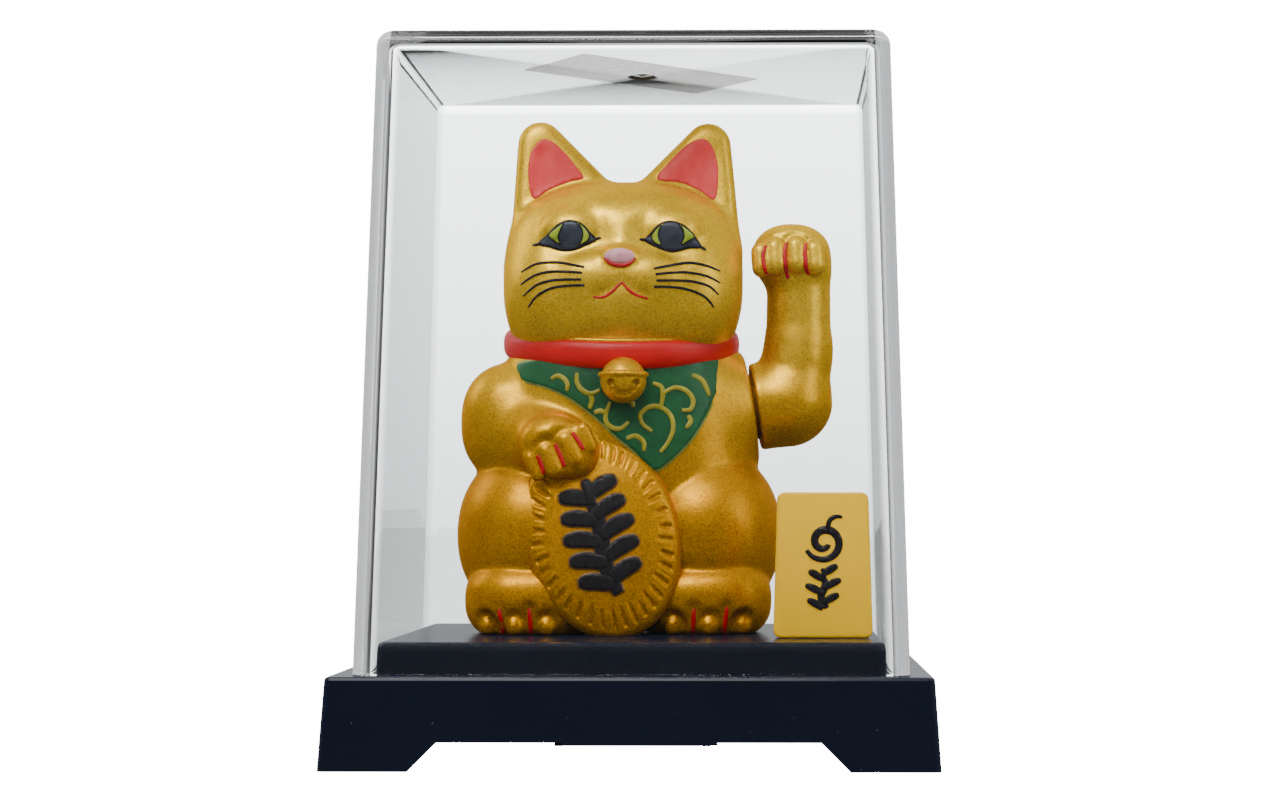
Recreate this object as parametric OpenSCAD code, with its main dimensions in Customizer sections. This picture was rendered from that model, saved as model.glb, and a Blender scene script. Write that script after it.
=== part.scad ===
// Waving lucky cat in a clear display case on a black stand.
// Millimetres. +Z is up, the cat faces -Y, and the origin is the centre of the stand's footprint.

/* [Stand] */
// Width of the stand across its feet
foot_w = 110; // [106:1:124]
// Depth of the stand across its feet
foot_d = 90; // [86:1:104]
// How much narrower the stand is at its deck, on each side
stand_taper = 1; // [0:0.1:2]
// Height of the deck that the cover stands on
deck_z = 16.5; // [16.5:0.5:20]
// Height of the raised plinth above the deck
plinth_h = 5.7; // [5.7:0.1:9]
// Wall thickness of the stand
stand_t = 2; // [1.6:0.1:2.4]
// Height of the openings between the legs
leg_h = 5.1; // [5.1:0.1:6]
// Width of each leg at the floor
leg_w = 16; // [12:0.5:20]

/* [Cover] */
// Width of the clear cover at its rim
cover_w = 100; // [99:0.5:103]
// Depth of the clear cover at its rim
cover_d = 80; // [79:0.5:83]
// Height of the clear cover
cover_h = 117; // [113:0.5:130]
// Wall thickness of the clear cover
cover_t = 2.4; // [1.8:0.1:2.6]
// Draft of the cover's walls, in millimetres inward for each millimetre up
cover_draft = 0.026; // [0.01:0.001:0.04]
// Radius of the cover's upright corners at its rim
cover_r = 3.6; // [3:0.1:5]

/* [Cat] */
// Sideways place of the cat on the plinth
cat_x = -5; // [-6:0.5:-4]
// Fore and aft place of the cat on the plinth
cat_y = 10; // [8:0.5:11]
// Turn of the cat about its own upright axis
cat_turn = 3.5; // [0:0.5:5]
// Thickness of the cat's floor plate
floor_t = 2.2; // [1.8:0.1:2.2]

/* [Waving arm] */
// Height of the arm's axle above the plinth
axle_h = 44.4; // [44:0.2:46]
// Radius of the axle
axle_r = 1; // [0.8:0.1:1.2]
// Gap between the shoulder and the arm
arm_gap = 0.8; // [0.7:0.1:0.9]
// Radius of the forearm
forearm_r = 6.5; // [6:0.1:6.8]

/* [Plaque] */
// Width of the plaque at its foot
plaque_w = 18.4; // [14:0.2:19]
// Height of the plaque
plaque_h = 27; // [20:0.5:34]
// Thickness of the plaque
plaque_t = 3.6; // [3:0.1:5]

/* [Hidden] */
$fn = 48;
eps = 0.01;

plinth_z = deck_z + plinth_h;
top_z = deck_z + cover_h;
plate_z = leg_h - 0.1;
plate_t = 1.5;
plinth_w = cover_w - 2 * cover_t - 2.8;
plinth_d = cover_d - 2 * cover_t - 2.8;
lip_x = 1.9;
lip_w = 27.4;
lip_h = 0.45;
screw_x = foot_w / 2 - 9;
screw_y = foot_d / 2 - 9;
screw_r = 1;
boss_r = 2.6;
label_w = 42;
label_d = 21;
label_turn = 38.5;
label_t = 0.12;
gate_r = 2.6;
cell_r = 7.15;
cell_l = 50;
cell_z = plate_z + 0.15 + cell_r;
box_in_x = cell_r + 0.45;
box_in_y = 30;
box_t = 1.2;
rail_out = 14.2;
rail_in = 12.6;
rail_z = 3.15;
door_front = -31;
door_back = 35;
face_tilt = 9;
face_x = 26.4;
screw_spots = [[-14, 2], [18.5, 2]];
wire_spot = [-9.5, 11];
drive_x = 8.5;
coil_z = 13;
coil_h = 5;
magnet_z = 20;
magnet_h = 6;
magnet_y = 0.36;
pads = [[2.2, 7.6], [5.4, 7.6]];

// ---------- helpers ----------

// A solid with rounded upright corners through a list of levels [width, depth, corner radius, height].
module levels(list, n = 32) {
    hull()
        for (l = list, sx = [-1, 1], sy = [-1, 1])
            translate([sx * (l[0] / 2 - l[2]), sy * (l[1] / 2 - l[2]), l[3]])
                cylinder(r = l[2], h = eps, $fn = n);
}

// The same, with each pair of neighbouring levels as a solid of its own.
module stepped_levels(list, n = 24) {
    for (i = [0:len(list) - 2]) levels([list[i], list[i + 1]], n);
}

// An ellipsoid with centre c and half sizes r.
module ball(c, r, n = 28) {
    hull() translate(c) scale(r) sphere(r = 1, $fn = n);
}

// Ellipse outline with half sizes a and b.
module ellipse(a, b, n = 64) {
    polygon([for (i = [0:n - 1]) [a * cos(360 * i / n), b * sin(360 * i / n)]]);
}

module at_cat() {
    translate([cat_x, cat_y, plinth_z]) rotate([0, 0, cat_turn]) children();
}

// The arm's axle runs along the cat's own X through its shoulder.
module along_axle(x) {
    translate([x, 0, axle_h]) rotate([0, 90, 0]) children();
}

function cover_level(z, inset, r) =
    [cover_w - 2 * cover_draft * (z - deck_z) - 2 * inset,
     cover_d - 2 * cover_draft * (z - deck_z) - 2 * inset, r, z];

// Levels of a box with rounded top edges of radius edge, at a distance in from the cover's outside.
function cover_levels(low, high, inset, edge) = concat(
    [cover_level(low, inset, cover_r - inset / 2)],
    [for (a = [0:22.5:90])
        cover_level(high - edge + edge * sin(a), inset + edge * (1 - cos(a)),
                    max(0.6, cover_r - inset / 2 - edge * (1 - cos(a))))]);

function unit(v) = v / norm(v);
function path_dir(p, i) =
    unit(p[min(i + 1, len(p) - 1)] - p[max(i - 1, 0)]);
function path_ring(c, dir, r, n, side = unit([0.9, -0.3, 0.25])) =
    let (u = unit(cross(dir, side)), v = cross(u, dir))
    [for (k = [0:n - 1]) c + r * (u * cos(360 * k / n) + v * sin(360 * k / n))];

// A round wire of radius r swept along the points p.
module swept_wire(p, r, n = 8) {
    last = len(p) - 1;
    rings = [for (i = [0:last]) each path_ring(p[i], path_dir(p, i), r, n)];
    sides = [for (i = [0:last - 1], k = [0:n - 1])
        [i * n + k, i * n + (k + 1) % n, (i + 1) * n + (k + 1) % n, (i + 1) * n + k]];
    halves = [for (s = sides) each [[s[0], s[1], s[2]], [s[0], s[2], s[3]]]];
    ends = [[for (k = [n - 1:-1:0]) k], [for (k = [0:n - 1]) last * n + k]];
    polyhedron(points = rings, faces = concat(halves, ends), convexity = 4);
}

// ---------- stand ----------

module stand_outside() {
    t = stand_taper;
    stepped_levels([[foot_w, foot_d, 1.4, 0],
                    [foot_w - 2 * t, foot_d - 2 * t, 1.4, deck_z - 0.6],
                    [foot_w - 2 * t - 0.4, foot_d - 2 * t - 0.4, 1.2, deck_z - 0.2],
                    [foot_w - 2 * t - 1.2, foot_d - 2 * t - 1.2, 1, deck_z - eps]]);
}

module stand_inside() {
    t = stand_taper + stand_t;
    levels([[foot_w - 2 * stand_t, foot_d - 2 * stand_t, 0.6, -1],
            [foot_w - 2 * t, foot_d - 2 * t, 0.6, deck_z - stand_t]]);
}

module plinth_outside() {
    stepped_levels([[plinth_w, plinth_d, 2.4, deck_z - 1],
                    [plinth_w - 0.3, plinth_d - 0.3, 2.4, plinth_z - 1.4],
                    [plinth_w - 0.7, plinth_d - 0.7, 2.2, plinth_z - 0.7],
                    [plinth_w - 1.5, plinth_d - 1.5, 1.8, plinth_z - 0.2],
                    [plinth_w - 2.6, plinth_d - 2.6, 1.4, plinth_z - eps]]);
}

module plinth_inside() {
    levels([[plinth_w - 2 * stand_t, plinth_d - 2 * stand_t, 1, deck_z - stand_t - 1],
            [plinth_w - 2 * stand_t, plinth_d - 2 * stand_t, 1, plinth_z - stand_t]]);
}

// The opening between two legs, for a side of length span.
module leg_gap(span) {
    low = span / 2 - leg_w;
    high = low - leg_h;
    rotate([90, 0, 0])
        linear_extrude(height = 2 * foot_w, center = true)
            polygon([[-low, -1], [-low, 0], [-high, leg_h], [high, leg_h], [low, 0], [low, -1]]);
}

module stand() {
    color("#0d1422")
    difference() {
        union() {
            difference() {
                union() {
                    stand_outside();
                    plinth_outside();
                }
                stand_inside();
                plinth_inside();
            }
            for (sx = [-1, 1], sy = [-1, 1])
                translate([sx * screw_x, sy * screw_y, plate_z + plate_t])
                    cylinder(r = boss_r, h = deck_z - plate_z - plate_t - stand_t + 0.5);
        }
        difference() {
            union() {
                leg_gap(foot_w);
                rotate([0, 0, 90]) leg_gap(foot_d);
            }
            translate([lip_x - lip_w / 2, -foot_d / 2 - 1, leg_h - lip_h]) cube([lip_w, 1 + stand_t, 5]);
        }
        for (sx = [-1, 1], sy = [-1, 1])
            translate([sx * screw_x, sy * screw_y, plate_z])
                cylinder(r = screw_r, h = 9);
        at_cat() {
            for (p = screw_spots) translate([p[0], p[1], -5]) cylinder(r = screw_r + 0.15, h = 10);
            translate([wire_spot[0], wire_spot[1], -5]) cylinder(r = 2, h = 10);
        }
        translate([plaque_x(), plaque_y(), plinth_z - 4]) cube([10.2, 1.7, 10], center = true);
    }
}

// Rails under the plate hold the edges of the sliding battery door.
module door_rail(s) {
    translate([0, door_front, 0])
        rotate([-90, 0, 0])
            linear_extrude(height = door_back - door_front + 0.6)
                polygon([[s * rail_in, -rail_z], [s * rail_out, -rail_z], [s * rail_out, -plate_z - eps],
                         [s * (rail_in + 1), -plate_z - eps], [s * (rail_in + 1), -rail_z - 0.4],
                         [s * rail_in, -rail_z - 0.4]]);
}

module base_plate() {
    inside = 2 * stand_t + 2 * stand_taper * 0.5;
    color("#141a26")
    difference() {
        union() {
            translate([0, 0, plate_z])
                linear_extrude(height = plate_t)
                    square([foot_w - inside - 0.4, foot_d - inside - 0.4], center = true);
            translate([0, 1, plate_z + plate_t - eps])
                linear_extrude(height = 9)
                    square([2 * (box_in_x + box_t), 2 * (box_in_y + box_t)], center = true);
            door_rail(-1);
            door_rail(1);
            translate([-rail_out, door_back, rail_z]) cube([2 * rail_out, 0.6, plate_z - rail_z + eps]);
        }
        translate([0, 1, 0]) cube([2 * box_in_x, 2 * box_in_y, 60], center = true);
        for (sx = [-1, 1], sy = [-1, 1])
            translate([sx * screw_x, sy * screw_y, plate_z - 1]) {
                cylinder(r = screw_r + 0.2, h = 5);
                cylinder(r = 2.2, h = 1.9);
            }
    }
}

module base_plate_screws() {
    color("#b9bcc2")
    for (sx = [-1, 1], sy = [-1, 1])
        translate([sx * screw_x, sy * screw_y, plate_z + 0.1])
            difference() {
                union() {
                    cylinder(r = 2, h = 0.8);
                    cylinder(r = screw_r, h = 8);
                }
                translate([0, 0, -eps]) {
                    cube([2.6, 0.5, 1], center = true);
                    cube([0.5, 2.6, 1], center = true);
                }
            }
}

module battery_door() {
    long = door_back - door_front - 0.3;
    color("#10151f")
    difference() {
        union() {
            translate([-rail_in + 0.15, door_front, rail_z + 0.05])
                cube([2 * rail_in - 0.3, long, 1.2]);
            translate([-rail_in - 0.85, door_front, rail_z + 0.5])
                cube([2 * rail_in + 1.7, long, 0.75]);
        }
        for (i = [0:4])
            translate([-6, door_front + 5 + 1.6 * i, rail_z - 0.2]) cube([12, 0.7, 0.5]);
    }
}

// ---------- battery and wiring ----------

module battery_cell() {
    color("#b8862e")
    translate([0, cell_l / 2 - 0.5, cell_z])
        rotate([90, 0, 0]) {
            cylinder(r = cell_r, h = cell_l - 1.2);
            translate([0, 0, -0.3]) cylinder(r = 5.5, h = 1);
            translate([0, 0, cell_l - 1.8]) cylinder(r = 2.7, h = 2);
        }
}

module contact_plate() {
    color("#c9ccd0")
    difference() {
        translate([-6, 1 - box_in_y + eps, plate_z + 2]) cube([12, 0.5, 12]);
        translate([4, 0, plate_z + 11]) cube([1.2, 80, 1.2], center = true);
    }
}

// A conical spring wound by a loop of points, with its wide end on the compartment's wall.
module contact_spring() {
    turns = 4;
    back = 1 + box_in_y - 0.5;
    front = cell_l / 2 + 0.25;
    wire = 0.35;
    steps = 16 * turns;
    color("#c9ccd0")
    swept_wire([for (i = [0:steps])
        let (t = i / steps, a = 180 + 360 * turns * t, r = 5 - 2.4 * t)
        [r * cos(a), back - wire - (back - front - 2 * wire) * t, cell_z + r * sin(a)]], wire, 6);
}

// Points that a loose wire takes from a battery contact, up through the floor, to the circuit board.
red_route = [[-4.5, -27.9, 17.2], [-7.5, -27.6, 17.6], [-10.2, -26, 16], [-11.2, -22, 13.6],
             [-12.5, -10, 13], [-14, 5, 13], [-15.6, 16, 13.4], [-16, 19.4, 15], [-15.9, 20.4, 18],
             [-15.9, 20.5, 22], [-15.8, 20.4, 26], [-13, 19.6, 31], [-9.5, 18.6, 35.6],
             [-6, 18, 37], [-3.9, 17.8, 36.8], [-3.3, 17.7, 35.85]];
black_route = [[-4.1, 29.9, 16.7], [-6.5, 29.6, 17.6], [-9, 29.1, 17.1], [-10.8, 28, 15.2], [-13, 25, 13.4],
               [-14.2, 22.4, 14], [-14.7, 21, 16], [-14.7, 20.4, 19], [-14.6, 20.3, 24],
               [-13, 21.2, 29], [-8.5, 21.4, 35], [-4, 20.4, 38.2], [-1, 18.8, 38], [-0.1, 17.9, 35.85]];

module wire_red() {
    color("#c02020") swept_wire(red_route, 0.55);
}

module wire_black() {
    color("#202020") swept_wire(black_route, 0.55);
}

// ---------- cover ----------

module clear_cover() {
    color("#e8eef2", 0.3)
    difference() {
        levels(cover_levels(deck_z, top_z, 0, 2.8));
        levels(cover_levels(deck_z - 1, top_z - cover_t, cover_t, 1.6));
        translate([0, 0, top_z - 0.3]) cylinder(r = gate_r, h = 1);
    }
}

module cover_label() {
    color("#d8d6d2")
    translate([0, 0, top_z + 0.01])
        rotate([0, 0, label_turn])
            linear_extrude(height = label_t) square([label_w, label_d], center = true);
}

// ---------- plaque ----------

function plaque_x() = 34.8;
function plaque_y() = -20;

module plaque() {
    half = plaque_w / 2;
    top = half - 0.7;
    r = 1.4;
    corners = [[half - r, r, -90], [top - r, plaque_h - r, 0],
               [r - top, plaque_h - r, 90], [r - half, r, 180]];
    outline = [for (c = corners, i = [0:8])
        [c[0] + r * cos(c[2] + 11.25 * i), c[1] + r * sin(c[2] + 11.25 * i)]];
    color("#e8b440")
    translate([plaque_x(), plaque_y(), plinth_z + 0.02])
        union() {
            rotate([90, 0, 0])
                linear_extrude(height = plaque_t, center = true) polygon(outline);
            translate([-4.9, -0.7, -3]) cube([9.8, 1.4, 4]);
        }
}

// ---------- cat ----------

// The block that is cut away where the shoulder ends and the arm begins.
module beyond_shoulder(gap) {
    translate([face_x + gap, 0, axle_h])
        rotate([0, -face_tilt, 0])
            translate([0, -30, -12.5]) cube([60, 60, 27]);
}

module ear(s) {
    hull() {
        translate([s * 16.6 + 0.8, 1.5, 95.9]) scale([1, 0.85, 1]) sphere(r = 4.5, $fn = 20);
        translate([s * 17.8 + 0.8, 1, 80]) scale([1, 1.2, 1]) sphere(r = 4.4, $fn = 20);
        translate([s * 6.2 + 0.8, 1, 83.6]) scale([1, 1.1, 1]) sphere(r = 5, $fn = 20);
    }
}

module coin_tilted() {
    translate([-3.3, -20.2, 18.9])
        rotate([0, -15, 0])
            rotate([82, 0, 0])
                hull() {
                    translate([0, 0, -5]) linear_extrude(height = 7.6) ellipse(14.4, 19.1, 48);
                    linear_extrude(height = 4) ellipse(13, 17.8, 48);
                }
}

module torso() {
    hull() {
        translate([0, 2, 0]) linear_extrude(height = 0.5) ellipse(27, 19.5, 40);
        translate([0, 1.5, 20]) scale([30, 21.5, 18]) sphere(r = 1, $fn = 32);
        translate([0, 1, 41]) scale([27.4, 19.6, 12]) sphere(r = 1, $fn = 32);
    }
    hull() {
        translate([0.4, 1, 44]) scale([25.6, 19, 10]) sphere(r = 1, $fn = 32);
        translate([0.8, 0.5, 62]) scale([20.5, 17, 8]) sphere(r = 1, $fn = 32);
    }
}

module holding_arm() {
    hull() {
        translate([-20.4, -2, 40.4]) scale([10.8, 12, 11.6]) sphere(r = 1, $fn = 24);
        translate([-15.5, -13.5, 37.5]) scale([9.6, 8.5, 8.6]) sphere(r = 1, $fn = 24);
    }
    hull() {
        translate([-15.5, -13.5, 37.5]) scale([9.6, 8.5, 8.6]) sphere(r = 1, $fn = 24);
        translate([-10, -20.6, 35.4]) scale([6.2, 4.8, 5.4]) sphere(r = 1, $fn = 20);
    }
}

module cat_outside() {
    torso();
    holding_arm();
    coin_tilted();
    for (s = [-1, 1]) {
        ball([s * 16.4, -2, 19], [15.4, 18, 17.6]);
        ball([s * 16.4, -9.5, 6], [13.2, 13, 7.4]);
        ear(s);
    }
    hull() {
        along_axle(10) cylinder(r = 12, h = 1, $fn = 32);
        along_axle(27.4) cylinder(r = 8.4, h = 1, $fn = 32);
    }
    translate([0.7, 0.5, 55.2]) rotate([-7, 0, 0]) scale([1, 0.85, 1])
        rotate_extrude($fn = 40) translate([20.3, 0]) circle(r = 3.2, $fn = 14);
    ball([0.4, -20.4, 47.6], [4.3, 3.8, 4.3], 20);
    hull() {
        translate([0.8, 0, 68.4]) scale([23.2, 19.6, 13.6]) sphere(r = 1, $fn = 36);
        translate([0.8, 0.3, 77.4]) scale([21.6, 17.6, 11.8]) sphere(r = 1, $fn = 36);
    }
    ball([0.8, -17.6, 64.6], [8.4, 3.6, 5.2], 20);
    ball([9, 21.4, 8.4], [5.6, 5, 8], 20);
}

module cat_inside() {
    hull() {
        translate([0, 2, -1]) linear_extrude(height = 0.5) ellipse(22.2, 15.2, 40);
        translate([0, 1.5, 21]) scale([26.6, 18.4, 16]) sphere(r = 1, $fn = 28);
        translate([0, 1, 41]) scale([24.4, 16.6, 9]) sphere(r = 1, $fn = 28);
    }
    hull() {
        translate([0, 1, 42]) scale([22, 16, 9]) sphere(r = 1, $fn = 28);
        translate([0.8, 0.5, 60]) scale([17, 13.6, 8]) sphere(r = 1, $fn = 28);
    }
    ball([0.8, 0.2, 71.5], [19.8, 16.4, 14.6], 28);
}

module cat_body() {
    color("#c9982c")
    at_cat()
        difference() {
            cat_outside();
            cat_inside();
            beyond_shoulder(0);
            along_axle(10) cylinder(r = 2.6, h = 30, $fn = 24);
            translate([0, 0, -50]) cube(100, center = true);
        }
}

module cat_floor() {
    color("#d9d9d4")
    at_cat()
        difference() {
            translate([0, 2, 0.02]) linear_extrude(height = floor_t) ellipse(21.9, 14.9, 48);
            for (p = screw_spots) translate([p[0], p[1], -1]) cylinder(r = screw_r + 0.15, h = 5);
            translate([wire_spot[0], wire_spot[1], -1]) cylinder(r = 2, h = 5);
        }
}

module cat_fixing_screws() {
    color("#b9bcc2")
    at_cat()
        for (p = screw_spots)
            translate([p[0], p[1], -stand_t - 1.3])
                difference() {
                    union() {
                        cylinder(r = 2, h = 1.2);
                        cylinder(r = screw_r, h = 8.8);
                    }
                    translate([0, 0, -eps]) {
                        cube([2.6, 0.5, 1.2], center = true);
                        cube([0.5, 2.6, 1.2], center = true);
                    }
                }
}

// ---------- swing drive ----------

module upright(x) {
    translate([x, -4.5, floor_t + 0.03]) cube([2, 9, axle_h - floor_t]);
    along_axle(x) cylinder(r = 4.5, h = 2);
}

module drive_frame() {
    color("#e6e3da")
    at_cat()
        difference() {
            union() {
                translate([-17, -5, floor_t + 0.03]) cube([36.6, 11, 1.5]);
                for (p = screw_spots) translate([p[0], p[1], floor_t + 0.03]) cylinder(r = 2.3, h = 4.6);
                upright(-2);
                upright(15.5);
                translate([-0.5, -4.5, 9.4]) cube([2, 9, 1.98]);
                translate([14, -4.5, 9.4]) cube([2, 9, 1.98]);
            }
            for (p = screw_spots) translate([p[0], p[1], 0]) cylinder(r = screw_r, h = 5.7);
            along_axle(-5) cylinder(r = 2, h = 30);
        }
}

module axle_bushes() {
    color("#b08d3c")
    at_cat()
        for (x = [-2, 15.5])
            along_axle(x)
                difference() {
                    cylinder(r = 2, h = 2);
                    translate([0, 0, -1]) cylinder(r = axle_r + 0.04, h = 4);
                }
}

module circuit_board() {
    color("#2f6b3a")
    at_cat()
        difference() {
            translate([0.3, -10.4, coil_z - 1.6]) cube([14.9, 19.4, 1.6]);
            translate([drive_x, 0, 0]) cylinder(r = 1.2, h = 20);
            for (p = pads) translate([p[0], p[1], 0]) cylinder(r = 0.5, h = 20);
        }
}

module board_components() {
    color("#26282c")
    at_cat() {
        translate([3, -10, coil_z + 0.01]) cube([5, 3.2, 1.6]);
        translate([12.4, -8.2, coil_z + 0.01]) cylinder(r = 1.9, h = 4.4);
        translate([10.2, 8, coil_z + 0.01]) cylinder(r = 0.9, h = 2.6);
    }
}

module coil_bobbin() {
    color("#ece9e0")
    at_cat()
        translate([drive_x, 0, coil_z + 0.01])
            difference() {
                union() {
                    cylinder(r = 6.4, h = 0.7);
                    cylinder(r = 2.4, h = coil_h);
                    translate([0, 0, coil_h - 0.7]) cylinder(r = 6.4, h = 0.7);
                }
                translate([0, 0, -1]) cylinder(r = 1.2, h = 10);
            }
}

module coil_winding() {
    color("#a8502a")
    at_cat()
        translate([drive_x, 0, coil_z + 0.72])
            difference() {
                cylinder(r = 5.9, h = coil_h - 1.42);
                translate([0, 0, -1]) cylinder(r = 2.42, h = 10);
            }
}

module coil_core() {
    color("#8d9096")
    at_cat() translate([drive_x, 0, coil_z - 1.5]) cylinder(r = 1.17, h = coil_h + 1.4);
}

module axle() {
    color("#c4c7cc") at_cat() along_axle(-4) cylinder(r = axle_r, h = 38);
}

module axle_clips() {
    color("#3c3f45")
    at_cat()
        for (x = [-3.2, 13.7])
            along_axle(x)
                difference() {
                    cylinder(r = 2.2, h = 0.8);
                    translate([0, 0, -1]) cylinder(r = axle_r, h = 3);
                }
}

module pendulum_lever() {
    color("#e6e3da")
    at_cat()
        difference() {
            union() {
                along_axle(drive_x - 2) cylinder(r = 3.4, h = 4);
                translate([drive_x - 1, -2, magnet_z + magnet_h - 1]) cube([2, 4, axle_h - magnet_z - magnet_h]);
                translate([drive_x, magnet_y, magnet_z + 3]) cylinder(r = 6.4, h = magnet_h - 2);
            }
            along_axle(0) cylinder(r = axle_r, h = 20);
            translate([drive_x, magnet_y, magnet_z - 1]) cylinder(r = 5.4, h = magnet_h + 1);
        }
}

module pendulum_magnet() {
    color("#54575c") at_cat() translate([drive_x, magnet_y, magnet_z]) cylinder(r = 5.4, h = magnet_h);
}

// ---------- waving arm ----------

module arm_hub() {
    color("#e6e3da")
    at_cat()
        difference() {
            along_axle(face_x + arm_gap + 1.6) cylinder(r = 3.2, h = 7.6);
            along_axle(0) cylinder(r = axle_r, h = 34);
        }
}

module forearm_shape(thin) {
    r = forearm_r - thin;
    hull() {
        along_axle(20) cylinder(r = 8 - thin, h = 1, $fn = 32);
        translate([34.2, 0, 46.2]) sphere(r = 8 - thin, $fn = 28);
    }
    hull() {
        translate([34.4, 0, 46.6]) sphere(r = 7.8 - thin, $fn = 28);
        translate([35.7, 0, 68]) sphere(r = r, $fn = 28);
    }
    hull() {
        translate([35.7, 0, 68]) sphere(r = r, $fn = 28);
        translate([34.6, -1, 74.6]) scale([7.6 - thin, 7.4 - thin, 6.6 - thin]) sphere(r = 1, $fn = 28);
    }
}

module raised_arm() {
    color("#c9982c")
    at_cat()
        difference() {
            union() {
                difference() {
                    forearm_shape(0);
                    intersection() {
                        forearm_shape(1.6);
                        translate([face_x + arm_gap + 1.6, -30, 0]) cube([60, 60, 200]);
                    }
                }
                for (i = [0:3])
                    ball([29.4 + 3.4 * i, -7 + 0.25 * pow(i - 1.5, 2), 71.8], [2, 2.2, 3.2], 16);
                translate([face_x, 0, 0]) along_axle(arm_gap + 1) cylinder(r = 4.6, h = 3, $fn = 28);
            }
            translate([face_x + arm_gap, 0, axle_h])
                rotate([0, -face_tilt, 0])
                    translate([-60, -30, -60]) cube([60, 60, 120]);
            along_axle(face_x) cylinder(r = 3.2, h = 9.2, $fn = 28);
        }
}

stand();
base_plate();
base_plate_screws();
battery_door();
battery_cell();
contact_plate();
contact_spring();
wire_red();
wire_black();
clear_cover();
cover_label();
plaque();
cat_body();
cat_floor();
cat_fixing_screws();
drive_frame();
axle_bushes();
circuit_board();
board_components();
coil_bobbin();
coil_winding();
coil_core();
axle();
axle_clips();
pendulum_lever();
pendulum_magnet();
arm_hub();
raised_arm();
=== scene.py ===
"""Looks of a waving cat figurine in a clear display case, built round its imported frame.

Sizes are in millimetres in this file and become metres when a mesh is made.
The case and its contents stand in the row frame. The cat has a frame of its own,
whose origin is the middle of its base on the plinth.
"""

import logging
import math
from dataclasses import dataclass, field
from enum import Enum
from typing import Callable, Iterable, Sequence

import bpy
import numpy as np
from mathutils import Matrix, Vector
from mathutils.bvhtree import BVHTree
from mathutils.geometry import delaunay_2d_cdt


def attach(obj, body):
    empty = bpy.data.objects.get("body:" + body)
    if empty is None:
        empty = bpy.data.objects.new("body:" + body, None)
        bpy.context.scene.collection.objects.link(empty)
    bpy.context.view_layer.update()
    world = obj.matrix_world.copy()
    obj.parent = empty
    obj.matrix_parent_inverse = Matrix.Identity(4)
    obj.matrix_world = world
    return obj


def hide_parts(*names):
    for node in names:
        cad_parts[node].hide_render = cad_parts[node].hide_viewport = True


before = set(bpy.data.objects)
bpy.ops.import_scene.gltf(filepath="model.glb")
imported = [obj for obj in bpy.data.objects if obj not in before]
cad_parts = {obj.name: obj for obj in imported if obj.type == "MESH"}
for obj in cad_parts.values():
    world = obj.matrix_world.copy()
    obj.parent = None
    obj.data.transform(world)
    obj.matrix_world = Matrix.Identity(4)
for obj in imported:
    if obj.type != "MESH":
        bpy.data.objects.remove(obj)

log = logging.getLogger("cat")
MM = 0.001
Array = np.ndarray
Material = bpy.types.Material
Socket = bpy.types.NodeSocket
Point = tuple[float, float, float]
Spot = tuple[float, float]
Placer = Callable[[Array, float], Array]


class Body(Enum):
    """The bodies of the row that a piece can ride on."""

    STAND = "stand"
    ARM = "arm"
    COVER = "cover"
    DOOR = "door"


class Size(Enum):
    """Sizes that several sub-assemblies share."""

    DECK = 16.5
    PLINTH = 22.2
    AXLE = 44.4
    SHOULDER = 26.4
    SHOULDER_TILT = 9.0


# ---------------------------------------------------------------- frames and meshes


@dataclass(frozen=True)
class CatFrame:
    """Where the cat stands, and how far it is turned about its upright axis."""

    x: float = -5.0
    y: float = 10.0
    turn: float = 3.5

    def to_row(self, points: Array) -> Array:
        """Moves points from the cat's own frame to the row's.

        Args:
            points: an array of points, three numbers each.

        Returns:
            The same points in the row's frame.
        """
        c, s = math.cos(math.radians(self.turn)), math.sin(math.radians(self.turn))
        p = np.asarray(points, float)
        return np.stack(
            [
                self.x + p[..., 0] * c - p[..., 1] * s,
                self.y + p[..., 0] * s + p[..., 1] * c,
                p[..., 2] + Size.PLINTH.value,
            ],
            -1,
        )


CAT = CatFrame()


def make_piece(
    name: str,
    points: Array,
    faces: Sequence,
    finish: Material,
    body: Body,
    nodes: Iterable[str] = (),
    slot: str = "",
    flat: bool = False,
) -> bpy.types.Object:
    """Makes one piece of the object from points in the row's frame.

    Args:
        name: the piece's name.
        points: its points, in millimetres.
        faces: its faces, as lists of point numbers.
        finish: its material.
        body: the body that it moves with.
        nodes: the frame's nodes that it stands for.
        slot: the record's material slot.
        flat: True to leave its faces flat.

    Returns:
        The new object.
    """
    mesh = bpy.data.meshes.new(name)
    mesh.from_pydata((np.asarray(points) * MM).tolist(), [], [list(map(int, f)) for f in faces])
    mesh.validate()
    mesh.update()
    obj = bpy.data.objects.new(name, mesh)
    bpy.context.scene.collection.objects.link(obj)
    return settle(obj, finish, body, nodes, slot, flat)


def settle(
    obj: bpy.types.Object,
    finish: Material,
    body: Body,
    nodes: Iterable[str] = (),
    slot: str = "",
    flat: bool = False,
) -> bpy.types.Object:
    """Dresses a finished object and ties it to its body.

    Args:
        obj: the object, at the origin.
        finish: its material.
        body: the body that it moves with.
        nodes: the frame's nodes that it stands for.
        slot: not used.
        flat: True to leave its faces flat.

    Returns:
        The same object.
    """
    obj.data.materials.clear()
    obj.data.materials.append(finish)
    if not flat:
        obj.data.shade_smooth()
    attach(obj, body.value)
    if nodes:
        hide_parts(*nodes)
    log.info("%s: %d faces, rides on %s", obj.name, len(obj.data.polygons), body.value)
    return obj


def bake_modifiers(obj: bpy.types.Object) -> None:
    """Turns an object's modifiers into plain mesh and removes them.

    Args:
        obj: the object to change.
    """
    graph = bpy.context.evaluated_depsgraph_get()
    mesh = bpy.data.meshes.new_from_object(obj.evaluated_get(graph))
    obj.modifiers.clear()
    obj.data = mesh


# ---------------------------------------------------------------- clay: shapes that blend


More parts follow.
